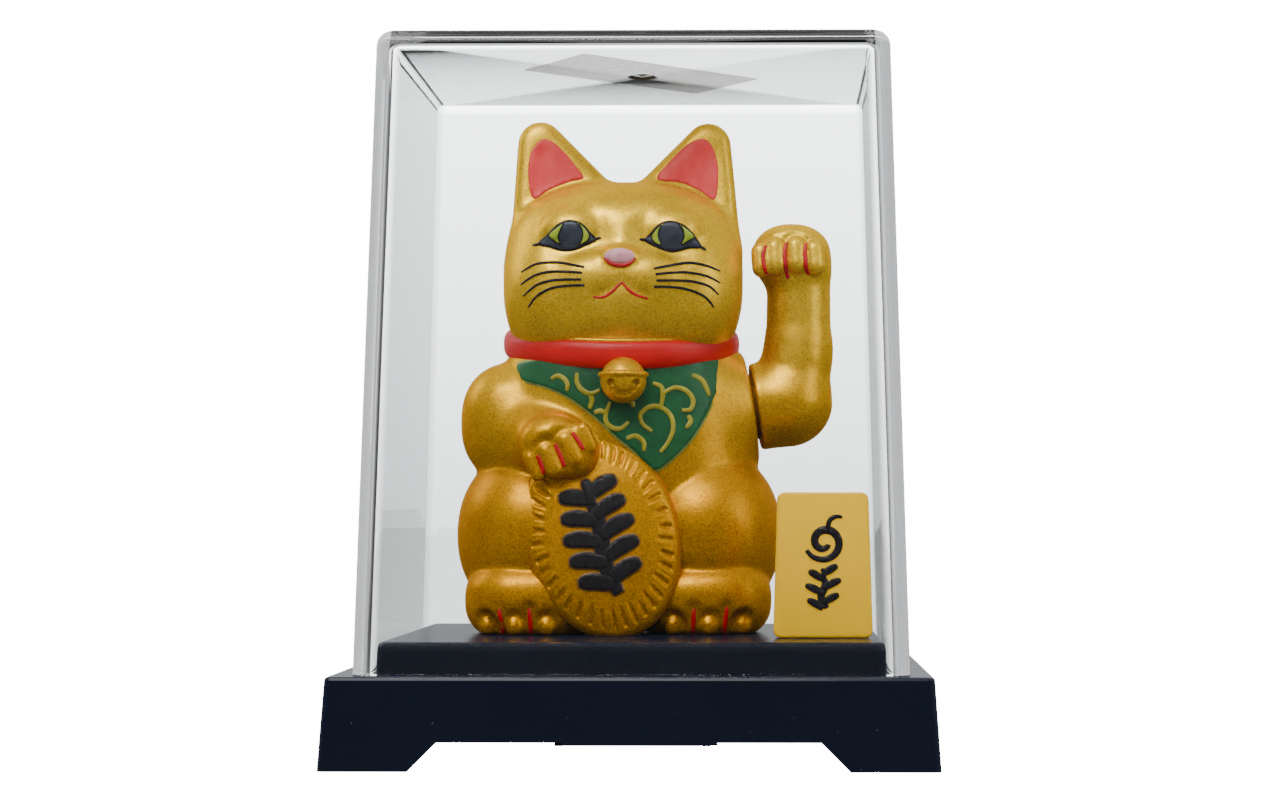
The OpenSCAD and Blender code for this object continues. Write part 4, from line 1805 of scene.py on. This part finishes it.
@dataclass
class Bib:
    """The green bib under the collar, with its gold edge and scrolls."""

    outline: tuple = (
        (-23.0, 73.9), (-23.2, 72.2), (-22.6, 70.9), (-17.2, 69.3), (-13.3, 67.4), (-10.2, 65.2), (-7.0, 62.6),
        (-4.4, 60.1), (-1.2, 57.5), (1.0, 55.3), (3.2, 53.6), (6.7, 56.0), (9.9, 59.4), (12.4, 63.3),
        (14.6, 68.0), (15.9, 70.9), (15.9, 74.4), (10.8, 74.6), (4.5, 73.6), (-3.2, 73.4), (-10.8, 74.0),
        (-17.2, 74.6),
    )
    scrolls: tuple = (
        [(-16.8, 71.0), (-15.7, 71.6), (-14.4, 71.1), (-13.7, 69.9), (-13.9, 68.7)],
        [(-11.9, 72.2), (-11.9, 70.3), (-10.8, 68.8), (-9.2, 68.2), (-7.5, 68.9)],
        [(-9.4, 68.2), (-9.0, 66.8), (-9.5, 65.3)],
        [(-5.5, 66.6), (-6.3, 64.5), (-6.2, 62.6), (-4.7, 61.5), (-3.2, 61.7), (-2.0, 62.8)],
        [(-8.6, 64.5), (-7.4, 64.9), (-6.4, 64.4)],
        [(-2.2, 66.4), (-1.5, 67.0), (-1.0, 65.6)],
        [(-2.4, 59.6), (-0.6, 60.1), (0.9, 58.9), (0.9, 57.2)],
        [(2.6, 70.2), (4.3, 69.4), (4.5, 67.4), (4.1, 65.4)],
        [(4.6, 68.2), (6.7, 69.3), (8.9, 68.8), (10.3, 67.1), (9.9, 65.2), (8.2, 65.0)],
        [
            (2.5, 61.0), (0.7, 62.4), (0.3, 64.2), (1.9, 65.6), (4.1, 65.6), (6.1, 63.9), (6.5, 61.3),
            (5.5, 58.8), (4.1, 57.0),
        ],
        [(10.2, 71.8), (12.2, 70.6), (13.5, 67.7)],
        [(9.0, 61.6), (9.9, 62.9), (9.4, 64.0)],
    )

    def build(self, brush: Brush, paints: Paints) -> None:
        """Paints the bib on the chest.

        Args:
            brush: paints on the chest.
            paints: the enamels.
        """
        cloth, edge, gold = Layers(), Layers(), Layers()
        loop = curve(self.outline, True, 5)
        edge.lay(shrink(loop, -0.42), brush, 0.14, 0.5, 0.8)
        edge.make("bib_edge", paints.edge, "gold_ceramic")
        cloth.lay(loop, brush, 0.3, 0.5, 0.7)
        cloth.make("bib", paints.green, "gold_ceramic")
        for line in self.scrolls:
            gold.lay(stroke(line, 0.95, (0.55, 0.55), 6), brush, 0.4, 0.1)
        gold.make("bib_scrolls", paints.scroll, "gold_ceramic")


@dataclass
class ClawLines:
    """The red lines between the toes and fingers."""

    feet: tuple = (
        ((-22.7, 5.0), (-21.9, 0.3)),
        ((-17.0, 5.0), (-16.6, 0.3)),
        ((14.3, 5.0), (14.1, 0.3)),
        ((20.6, 5.3), (20.0, 0.3)),
    )
    paw: tuple = (((-19.2, 56.3), (-18.0, 52.8)), ((-15.9, 58.5), (-14.1, 54.2)), ((-12.6, 60.7), (-10.4, 57.4)))
    raised: tuple = (
        [(28.9, 75.9), (28.3, 74.3), (28.4, 72.4), (28.7, 71.0), (29.0, 70.1)],
        [(33.0, 76.5), (32.6, 74.8), (32.7, 72.6), (32.9, 70.7), (33.3, 69.3)],
        [(36.8, 76.4), (36.6, 74.8), (36.7, 72.9), (36.8, 71.3), (37.3, 70.1)],
    )

    def build(self, brush: Brush, arm_brush: Brush, red: Material) -> None:
        """Paints the lines.

        Args:
            brush: paints on the body.
            arm_brush: paints on the raised arm.
            red: the enamel.
        """
        low = Layers()
        for (x0, z0), (x1, z1) in self.feet:
            ends = np.array([(x0, -21, z0), ((x0 + x1) / 2, -21, (z0 + z1) / 2), (x1, -21, z1)])
            low.lay(stroke(brush.spots(CAT.to_row(ends)), 0.85, (0.35, 0.8)), brush, 0.14)
        for (x0, z0), (x1, z1) in self.paw:
            low.lay(stroke([(x0, z0), ((x0 + x1) / 2 + 0.1, (z0 + z1) / 2), (x1, z1)], 0.85, (0.7, 0.7)), brush, 0.14)
        low.make("claw_lines", red, "gold_ceramic")
        high = Layers()
        for line in self.raised:
            ends = np.array([(x, -8.8, z) for x, z in line])
            high.lay(stroke(arm_brush.spots(CAT.to_row(ends)), 0.85, (0.55, 0.55)), arm_brush, 0.14)
        obj = make_piece("arm_claw_lines", np.concatenate(high.points), high.faces, red, Body.ARM, slot="gold_plastic")
        fix_outward(obj)


# ---------------------------------------------------------------- the case


@dataclass(frozen=True)
class Level:
    """One level of a rounded box: half sizes, corner radius and height."""

    half_x: float
    half_y: float
    round: float
    z: float


def rounded_rows(levels: Sequence[Level], steps: int) -> Array:
    """Points of a rounded box, one row for each level.

    Args:
        levels: the levels from the bottom up.
        steps: how many steps each corner has.

    Returns:
        The points, as rows.
    """
    rows = []
    for level in levels:
        row = []
        for cx, cy, start in ((1, 1, 0), (-1, 1, 90), (-1, -1, 180), (1, -1, 270)):
            for i in range(steps + 1):
                a = math.radians(start + 90 * i / steps)
                row.append(
                    (
                        cx * (level.half_x - level.round) + level.round * math.cos(a),
                        cy * (level.half_y - level.round) + level.round * math.sin(a),
                        level.z,
                    )
                )
        rows.append(row)
    return np.array(rows)


def tube_faces(rows: int, around: int, start: int = 0) -> list[tuple]:
    """Four-sided faces between rows of points.

    Args:
        rows: how many rows there are.
        around: how many points each has.
        start: number of the first point.

    Returns:
        The faces.
    """
    return [
        (
            start + k * around + i,
            start + k * around + (i + 1) % around,
            start + (k + 1) * around + (i + 1) % around,
            start + (k + 1) * around + i,
        )
        for k in range(rows - 1)
        for i in range(around)
    ]


@dataclass
class Cover:
    """The clear cover, with a wall of even thickness, round edges and a gate mark inside its top."""

    wide: float = 100.0
    deep: float = 80.0
    top: float = 133.5
    wall: float = 2.4
    draft: float = 0.026
    corner: float = 3.6
    edge: float = 2.8
    gate: float = 2.6
    gate_depth: float = 0.3
    steps: int = 14

    def side(self, z: float, inset: float, corner: float) -> Level:
        """One level of a wall's face."""
        lean = self.draft * (z - Size.DECK.value)
        return Level(self.wide / 2 - lean - inset, self.deep / 2 - lean - inset, corner, z)

    def skin_levels(self, inset: float, top: float, edge: float, corner: float, low: float) -> list[Level]:
        """Levels of the outer or the inner face.

        Args:
            inset: how far inside the outer face it lies.
            top: its highest point.
            edge: rounding of its top edge.
            corner: rounding of its upright edges.
            low: its lowest point.

        Returns:
            The levels from the bottom up.
        """
        out = [self.side(z, inset, corner) for z in (low, low + 0.15, 40, 70, 100)]
        for i in range(self.steps + 1):
            a = math.pi / 2 * i / self.steps
            z = top - edge + edge * math.sin(a)
            drop = edge * (1 - math.cos(a))
            out.append(self.side(z, inset + drop, max(0.35, corner - drop)))
        return out

    def build(self, finish: Material) -> None:
        """Makes the cover.

        Args:
            finish: its material.
        """
        low = Size.DECK.value + 0.02
        outer = rounded_rows(self.skin_levels(0, self.top, self.edge, self.corner, low), self.steps)
        inner = rounded_rows(
            self.skin_levels(self.wall, self.top - self.wall, 1.6, self.corner - self.wall / 2, low),
            self.steps,
        )
        n = outer.shape[1]
        points = [outer.reshape(-1, 3), inner.reshape(-1, 3)]
        faces = tube_faces(len(outer), n)
        shift = outer.shape[0] * n
        faces += [tuple(reversed(f)) for f in tube_faces(len(inner), n, shift)]
        faces += [(i, shift + i, shift + (i + 1) % n, (i + 1) % n) for i in range(n)]
        rim = (len(outer) - 1) * n
        faces.append(tuple(rim + i for i in range(n)))
        rim2 = shift + (len(inner) - 1) * n
        start = sum(len(p) for p in points)
        ring = np.arange(n) * 2 * math.pi / n
        rows = []
        for r, d in (
            (self.gate + 0.5, 0),
            (self.gate + 0.15, 0.02),
            (self.gate, 0.1),
            (self.gate - 0.2, self.gate_depth),
            (0.6, self.gate_depth),
            (0.3, 0),
        ):
            mid = np.column_stack(
                [
                    r * np.cos(ring + math.pi / n),
                    r * np.sin(ring + math.pi / n),
                    np.full(n, self.top - self.wall + d),
                ]
            )
            rows.append(mid)
        points += rows
        faces += [(rim2 + (i + 1) % n, rim2 + i, start + i, start + (i + 1) % n) for i in range(n)]
        faces += [tuple(reversed(f)) for f in tube_faces(len(rows), n, start)]
        last = start + (len(rows) - 1) * n
        faces.append(tuple(last + i for i in reversed(range(n))))
        fix_outward(
            make_piece(
                "cover", np.concatenate(points), faces, finish, Body.COVER, ["clear_cover"], "clear_plastic"
            )
        )


@dataclass
class Label:
    """The blank film label stuck on top of the cover."""

    long: float = 42.0
    short: float = 21.0
    turn: float = 38.5
    thick: float = 0.12
    corner: float = 0.5

    def build(self, finish: Material) -> None:
        """Makes the label.

        Args:
            finish: its material.
        """
        z = Cover().top + 0.01
        rows = rounded_rows(
            [
                Level(self.long / 2, self.short / 2, self.corner, z),
                Level(self.long / 2, self.short / 2, self.corner, z + self.thick),
            ],
            4,
        )
        n = rows.shape[1]
        points = rows.reshape(-1, 3)
        t = math.radians(self.turn)
        points[:, :2] = points[:, :2] @ np.array([[math.cos(t), math.sin(t)], [-math.sin(t), math.cos(t)]])
        faces = tube_faces(2, n) + [tuple(reversed(range(n))), tuple(range(n, 2 * n))]
        fix_outward(make_piece("label", points, faces, finish, Body.COVER, ["cover_label"], "label_film", True))


@dataclass
class Plaque:
    """The upright yellow plaque with its tab, and the black ornament on its front."""

    x: float = 34.8
    y: float = -20.0
    wide: float = 18.4
    top_wide: float = 17.0
    tall: float = 27.0
    thick: float = 3.6
    corner: float = 1.4
    bevel: float = 0.45

    def front(self, spots: Array, lift: float) -> Array:
        """Puts spots, measured from the middle of the front, on the front."""
        z = Size.PLINTH.value + 0.02 + self.tall / 2 + spots[:, 1]
        return np.column_stack([self.x + spots[:, 0], np.full(len(spots), self.y - self.thick / 2 - lift), z])

    def outline(self, inset: float) -> Array:
        """The plaque's outline, drawn in by some distance.

        Args:
            inset: how far it is drawn in.

        Returns:
            The outline, as a loop.
        """
        low, high, r = self.wide / 2 - inset, self.top_wide / 2 - inset, max(0.3, self.corner - inset)
        out = []
        for cx, cz, start in (
            (low - r, inset + r, -90),
            (high - r, self.tall - inset - r, 0),
            (r - high, self.tall - inset - r, 90),
            (r - low, inset + r, 180),
        ):
            for i in range(9):
                a = math.radians(start + 11.25 * i)
                out.append((cx + r * math.cos(a), cz + r * math.sin(a)))
        return np.array(out)

    def build(self, yellow: Material, black: Material) -> None:
        """Makes the plaque and its ornament.

        Args:
            yellow: the board's material.
            black: the ornament's enamel.
        """
        z0, half = Size.PLINTH.value + 0.02, self.thick / 2
        rows = []
        for inset, y in (
            (self.bevel, -half),
            (self.bevel * 0.3, -half + self.bevel * 0.3),
            (0, -half + self.bevel),
            (0, half - self.bevel),
            (self.bevel * 0.3, half - self.bevel * 0.3),
            (self.bevel, half),
        ):
            line = self.outline(inset)
            rows.append(np.column_stack([self.x + line[:, 0], np.full(len(line), self.y + y), z0 + line[:, 1]]))
        n = len(rows[0])
        faces = tube_faces(len(rows), n)
        faces += [tuple(reversed(range(n))), tuple(range((len(rows) - 1) * n, len(rows) * n))]
        tab = rounded_rows(
            [Level(4.9, 0.7, 0.2, z0 - 3), Level(4.9, 0.7, 0.2, z0 + 0.6)], 3
        ) + np.array([self.x, self.y, 0])
        m, start = tab.shape[1], len(rows) * n
        faces += tube_faces(2, m, start) + [
            tuple(start + i for i in reversed(range(m))), tuple(start + m + i for i in range(m))
        ]
        obj = make_piece(
            "plaque_board",
            np.concatenate([*rows, tab.reshape(-1, 3)]),
            faces,
            yellow,
            Body.STAND,
            ["plaque"],
            "plaque_yellow",
        )
        fix_outward(obj)
        obj.data.set_sharp_from_angle(angle=math.radians(50))
        ink = Layers()
        marks = [scroll(1.35, 3.6, 0.9, 205, 1.5) + (0.2, 4.3), scroll(0.5, 1.9, 1.5, 60, 0.9) + (2.6, 7.2)]
        marks += [loop + (0.0, -4.6) for loop in sprig(6.6, 3, 3.4)]
        for i, mark in enumerate(marks):
            ink.lay(mark, self.front, 0.1 + 0.006 * i, 0.2)
        ink.make("plaque_ornament", black, "plaque_yellow")


@dataclass
class Ornament:
    """The raised black sprig on the coin, in a thin dark brown band of painted shadow round it."""

    height: float = 20.5
    size: float = 7.2

    def build(self, coin: Coin, black: Material, edge: Material) -> None:
        """Makes the ornament.

        Args:
            coin: the coin that it lies on.
            black: its enamel.
            edge: the brown enamel of the painted shadow round it.
        """
        ink, rim = Layers(), Layers()
        for i, loop in enumerate(sprig(self.height, 5, self.size)):
            loop = loop + (-0.3, -1.5)
            # Painted shadow: a slightly wider brown layer under each stroke stands in for the shade round the raised
            # sprig.
            rim.lay(shrink(loop, -0.34), coin.place, 0.06 + 0.004 * i, 0.4)
            ink.lay(loop, coin.place, 0.34 + 0.006 * i, 0.5)
        rim.make("coin_ornament_painted_shadow", edge, "gold_ceramic")
        ink.make("coin_ornament", black, "gold_ceramic")


# ---------------------------------------------------------------- the works


@dataclass
class Works:
    """The contact spring and the two leads, drawn as round wire."""

    spring_turns: int = 4
    spring_wire: float = 0.35
    cell_z: float = 12.3
    wire: float = 0.55
    red: tuple = (
        (-4.5, -27.9, 17.2), (-7.5, -27.6, 17.6), (-10.2, -26, 16), (-11.2, -22, 13.6), (-12.5, -10, 13),
        (-14, 5, 13), (-15.6, 16, 13.4), (-16, 19.4, 15), (-15.9, 20.4, 18), (-15.9, 20.5, 22),
        (-15.8, 20.4, 26), (-13, 19.6, 31), (-9.5, 18.6, 35.6), (-6, 18, 37), (-3.9, 17.8, 36.8),
        (-3.3, 17.7, 35.85),
    )
    black: tuple = (
        (-4.1, 29.9, 16.7), (-6.5, 29.6, 17.6), (-9, 29.1, 17.1), (-10.8, 28, 15.2), (-13, 25, 13.4),
        (-14.2, 22.4, 14), (-14.7, 21, 16), (-14.7, 20.4, 19), (-14.6, 20.3, 24), (-13, 21.2, 29),
        (-8.5, 21.4, 35), (-4, 20.4, 38.2), (-1, 18.8, 38), (-0.1, 17.9, 35.85),
    )

    def build(self, steel: Material, red: Material, black: Material) -> None:
        """Makes the contact spring and the two leads.

        Args:
            steel: the spring's material.
            red: the red lead's sleeve.
            black: the black lead's sleeve.
        """
        t = np.linspace(0, 1, 40 * self.spring_turns)
        a = math.pi + 2 * math.pi * self.spring_turns * t
        back, front, w = 30.5, 25.25, self.spring_wire
        r = 5 - 2.4 * t
        path = np.column_stack([r * np.cos(a), back - w - (back - front - 2 * w) * t, self.cell_z + r * np.sin(a)])
        settle(Wirework.make("spring", path, w, 12, steel), steel, Body.STAND, ["contact_spring"], "steel")
        settle(
            Wirework.make("lead_red", curve(self.red, per=5), self.wire, 12, red),
            red,
            Body.STAND,
            ["wire_red"],
            "wire_red",
        )
        settle(
            Wirework.make("lead_black", curve(self.black, per=5), self.wire, 12, black),
            black,
            Body.STAND,
            ["wire_black"],
            "wire_black",
        )


@dataclass
class FrameFinishes:
    """The finishes of the pieces that come from the frame as they are."""

    by_node: dict[str, Material]

    def build(self) -> None:
        """Puts each finish on its node."""
        for name, finish in self.by_node.items():
            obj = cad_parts[name]
            for slot in obj.material_slots:
                slot.material = finish
            if not obj.material_slots:
                obj.data.materials.append(finish)
            log.info("%s: refinished as %s", name, finish.name)


# ---------------------------------------------------------------- room, lights and camera


@dataclass
class Studio:
    """A white table and background with soft lamps all round."""

    table: float = 6.0
    backdrop: float = 16.0
    through: float = 2.8
    through_rise: float = 14.0
    table_through: float = 2.0
    sky_top: float = 0.85
    sky_low: float = 0.06
    sky_back: float = 0.7

    def world(self) -> None:
        """Makes the surroundings: white to look at, and as a light bright above and dim below."""
        world = bpy.data.worlds.new("white_room")
        bpy.context.scene.world = world
        world.use_nodes = True
        tree = world.node_tree
        tree.nodes.clear()
        make, link = tree.nodes.new, tree.links.new

        def number(kind: str, *inputs: object) -> Socket:
            """One sum on numbers.

            Args:
                kind: the sum, as its node names it.
                *inputs: numbers, or sockets that give them.

            Returns:
                The result.
            """
            node = make("ShaderNodeMath")
            node.operation = kind
            for plug, value in zip(node.inputs, inputs):
                if isinstance(value, Socket):
                    link(value, plug)
                else:
                    plug.default_value = value
            return node.outputs[0]

        ray, way, split = make("ShaderNodeLightPath"), make("ShaderNodeTexCoord"), make("ShaderNodeSeparateXYZ")
        link(way.outputs["Generated"], split.inputs[0])
        high = number("MAXIMUM", split.outputs[2], 0.0)
        up = number("MULTIPLY_ADD", number("POWER", high, 1.6), self.sky_top, self.sky_low)
        back = number("MULTIPLY", number("MAXIMUM", number("SUBTRACT", split.outputs[1], 0.15), 0.0), self.sky_back)
        lit = number("ADD", up, back)
        bounced = number("GREATER_THAN", number("ADD", ray.outputs["Diffuse Depth"], ray.outputs["Glossy Depth"]), 0.5)
        behind = number("GREATER_THAN", ray.outputs["Transmission Depth"], 0.5)
        inside = number("MULTIPLY_ADD", high, self.through_rise, self.through)
        seen = number("ADD", self.backdrop, number("MULTIPLY", behind, number("SUBTRACT", inside, self.backdrop)))
        power = number(
            "ADD",
            number("MULTIPLY", bounced, lit),
            number("MULTIPLY", number("SUBTRACT", 1.0, bounced), seen),
        )
        light, out = make("ShaderNodeBackground"), make("ShaderNodeOutputWorld")
        light.inputs["Color"].default_value = (0.98, 0.99, 1.0, 1)
        link(power, light.inputs["Strength"])
        link(light.outputs[0], out.inputs[0])

    def floor(self) -> None:
        """Makes the table top."""
        m = Mixer("table_white")
        tone = m.blend(m.sort(m.grain(60, 2), 0.3, 0.7), rgb(84, 84, 84), rgb(92, 92, 92))
        glow = m.add("ShaderNodeEmission", None, Color=(1, 1, 1, 1), Strength=self.backdrop)
        path = m.add("ShaderNodeLightPath")
        top = m.skin(Base_Color=tone, Roughness=0.7).outputs[0]
        shown = m.add("ShaderNodeAddShader", None, _0=top, _1=glow.outputs[0]).outputs[0]
        veil = m.add("ShaderNodeEmission", None, Color=(1, 1, 1, 1), Strength=self.table_through)
        bounces = m.maths("ADD", path.outputs["Diffuse Depth"], path.outputs["Glossy Depth"])
        hurdle = m.maths("MULTIPLY_ADD", bounces, 1000.0, 0.5)
        crossed = m.maths("GREATER_THAN", path.outputs["Transmission Depth"], hurdle)
        dimmed = m.add("ShaderNodeAddShader", None, _0=top, _1=veil.outputs[0]).outputs[0]
        under = m.add("ShaderNodeMixShader", None, _0=crossed, _1=top, _2=dimmed).outputs[0]
        finish = m.done(
            m.add(
                "ShaderNodeMixShader", None, _0=path.outputs["Is Camera Ray"], _1=under, _2=shown
            ).outputs[0]
        )
        mesh = bpy.data.meshes.new("table")
        s = self.table
        mesh.from_pydata([(-s, -s, 0), (s, -s, 0), (s, s, 0), (-s, s, 0)], [], [(0, 1, 2, 3)])
        obj = bpy.data.objects.new("table", mesh)
        obj.data.materials.append(finish)
        bpy.context.scene.collection.objects.link(obj)

    @staticmethod
    def lamp(name: str, at: Point, size: Spot, power: float, colour: Point = (1, 1, 1)) -> None:
        """Adds a soft lamp aimed at the middle of the object.

        Args:
            name: the lamp's name.
            at: where it stands, in metres.
            size: its width and height, in metres.
            power: its power, in watts.
            colour: its colour.
        """
        data = bpy.data.lights.new(name, "AREA")
        data.shape, data.size, data.size_y = "RECTANGLE", size[0], size[1]
        data.energy, data.color = power, colour
        obj = bpy.data.objects.new(name, data)
        obj.location = at
        obj.rotation_euler = (Vector((0, 0, 0.06)) - Vector(at)).to_track_quat("-Z", "Y").to_euler()
        bpy.context.scene.collection.objects.link(obj)

    def build(self) -> None:
        """Makes the room."""
        self.world()
        self.floor()
        self.lamp("key", (-0.18, -0.55, 0.75), (0.5, 0.4), 5.2, (1.0, 0.985, 0.96))
        self.lamp("side", (0.75, -0.35, 0.35), (0.35, 0.5), 1.2)
        self.lamp("rim", (-0.7, 0.3, 0.5), (0.4, 0.4), 1.2)


@dataclass
class Eye:
    """The camera."""

    at: Point = (0.023, -0.457, 0.0458)
    left: float = 0.7
    up: float = 2.8
    lens: float = 65.73
    shift: float = -0.0709

    def build(self) -> None:
        """Makes the camera and chooses it."""
        data = bpy.data.cameras.new("camera")
        data.lens, data.sensor_width, data.shift_x = self.lens, 36.0, self.shift
        data.clip_start, data.clip_end = 0.01, 50
        obj = bpy.data.objects.new("camera", data)
        obj.location = self.at
        obj.rotation_euler = (math.radians(90 + self.up), 0, math.radians(self.left))
        bpy.context.scene.collection.objects.link(obj)
        bpy.context.scene.camera = obj


def main() -> None:
    """Builds every sub-assembly in order."""
    logging.basicConfig(level=logging.INFO, format="%(message)s")
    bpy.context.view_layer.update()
    gold = GoldPaint("gold_lacquer").make()
    black_paint = Enamel("black_enamel", rgb(8, 6, 8), rgb(18, 14, 17), 0.33, shine=0.25).make()
    paints = Paints(
        black=black_paint,
        grey=Enamel("slate_enamel", rgb(36, 40, 50), rgb(54, 60, 72), 0.34).make(),
        leaf=Enamel("leaf_enamel", rgb(150, 172, 30), rgb(170, 186, 60)).make(),
        pink=Enamel("pink_enamel", rgb(222, 150, 160), rgb(236, 180, 186)).make(),
        red=Enamel("claw_red_enamel", rgb(180, 0, 4), rgb(200, 8, 10)).make(),
        ear=Enamel("ear_red_enamel", rgb(224, 40, 44), rgb(232, 60, 60), 0.42).make(),
        green=Enamel("green_enamel", rgb(0, 66, 28), rgb(0, 82, 38), 0.45, (3, 1, 2)).make(),
        scroll=Enamel("scroll_gold_enamel", rgb(150, 138, 22), rgb(172, 156, 44), 0.4).make(),
        edge=Enamel("edge_gold_enamel", rgb(120, 136, 58), rgb(160, 160, 84), 0.34).make(),
    )
    collar_red = Enamel("collar_red_enamel", rgb(190, 0, 2), rgb(208, 6, 8), 0.38, (6, 6, 1)).make()
    solid, faces = CatBody().build(gold)
    bare = Clay((-36, -29, -2), (36, 30, 70), 1.0)
    CatBody().trunk(bare)
    chest, chest_faces = bare.skin()
    arm, arm_faces = RaisedArm().build(gold)
    brush = Brush(solid, faces)
    FacePaint(paints).build(brush, Brush(solid, faces, -2.0))
    Bib().build(Brush(CAT.to_row(chest), chest_faces, -10.0), paints)
    Collar().build(collar_red, gold)
    Bell().build(gold)
    coin = Coin()
    coin.build(gold)
    # The ornament's brown edge is painted shadow.
    Ornament().build(coin, black_paint, Enamel("ornament_painted_shadow_brown", rgb(110, 74, 20), rgb(140, 96, 30)).make())
    ClawLines().build(brush, Brush(arm, arm_faces, 3.0), paints.red)
    Cover().build(ClearPlastic("clear_styrene").make())
    Label().build(Film("label_film_grey").make())
    Plaque().build(
        Moulded("plaque_yellow_plastic", rgb(255, 198, 2), rgb(255, 190, 0), 0.5, 0.02, 0.0, 0.2).make(),
        black_paint,
    )
    steel = BareMetal("plated_steel", rgb(190, 192, 196), rgb(120, 116, 108)).make()
    dark = BareMetal("dark_steel_finish", rgb(120, 122, 126), rgb(70, 66, 60), 0.36).make()
    lead_red = Moulded("lead_red_sleeve", rgb(180, 24, 22), rgb(200, 60, 56), 0.4).make()
    lead_black = Moulded("lead_black_sleeve", rgb(22, 22, 24), rgb(48, 48, 50), 0.4).make()
    Works().build(steel, lead_red, lead_black)
    white = Moulded("white_works_plastic", rgb(226, 223, 212), rgb(206, 200, 186), 0.42).make()
    inner = Moulded("black_inner_plastic", rgb(20, 24, 34), rgb(40, 44, 54), 0.45, 0.03).make()
    FrameFinishes(
        {
            "stand": Moulded("stand_black_gloss", rgb(3, 5, 12), rgb(7, 10, 20), 0.2, 0.012, 0.12, 0.22).make(),
            "base_plate": inner,
            "battery_door": inner,
            "base_plate_screws": steel,
            "battery_cell": Banded("cell_sleeve", rgb(30, 30, 34), rgb(196, 132, 60), 31, 0.62, 1, 0.6).make(),
            "contact_plate": steel,
            "cat_floor": white,
            "cat_fixing_screws": steel,
            "drive_frame": white,
            "axle_bushes": BareMetal("turned_brass", rgb(206, 168, 88), rgb(150, 110, 50)).make(),
            "circuit_board": Banded("board_green", rgb(20, 96, 52), rgb(36, 128, 70), 1.6, 0.7, 0).make(),
            "board_components": Moulded("component_resin", rgb(26, 26, 28), rgb(60, 58, 56), 0.5).make(),
            "coil_bobbin": white,
            "coil_winding": BareMetal("copper_winding", rgb(196, 112, 60), rgb(140, 66, 34), 0.3, (9, 9, 1)).make(),
            "coil_core": dark,
            "axle": steel,
            "axle_clips": dark,
            "pendulum_lever": white,
            "pendulum_magnet": Moulded("ferrite_magnet", rgb(58, 58, 62), rgb(84, 82, 80), 0.6, 0.05).make(),
            "arm_hub": white,
        }
    ).build()
    Studio().build()
    Eye().build()


if __name__ == "__main__":
    main()
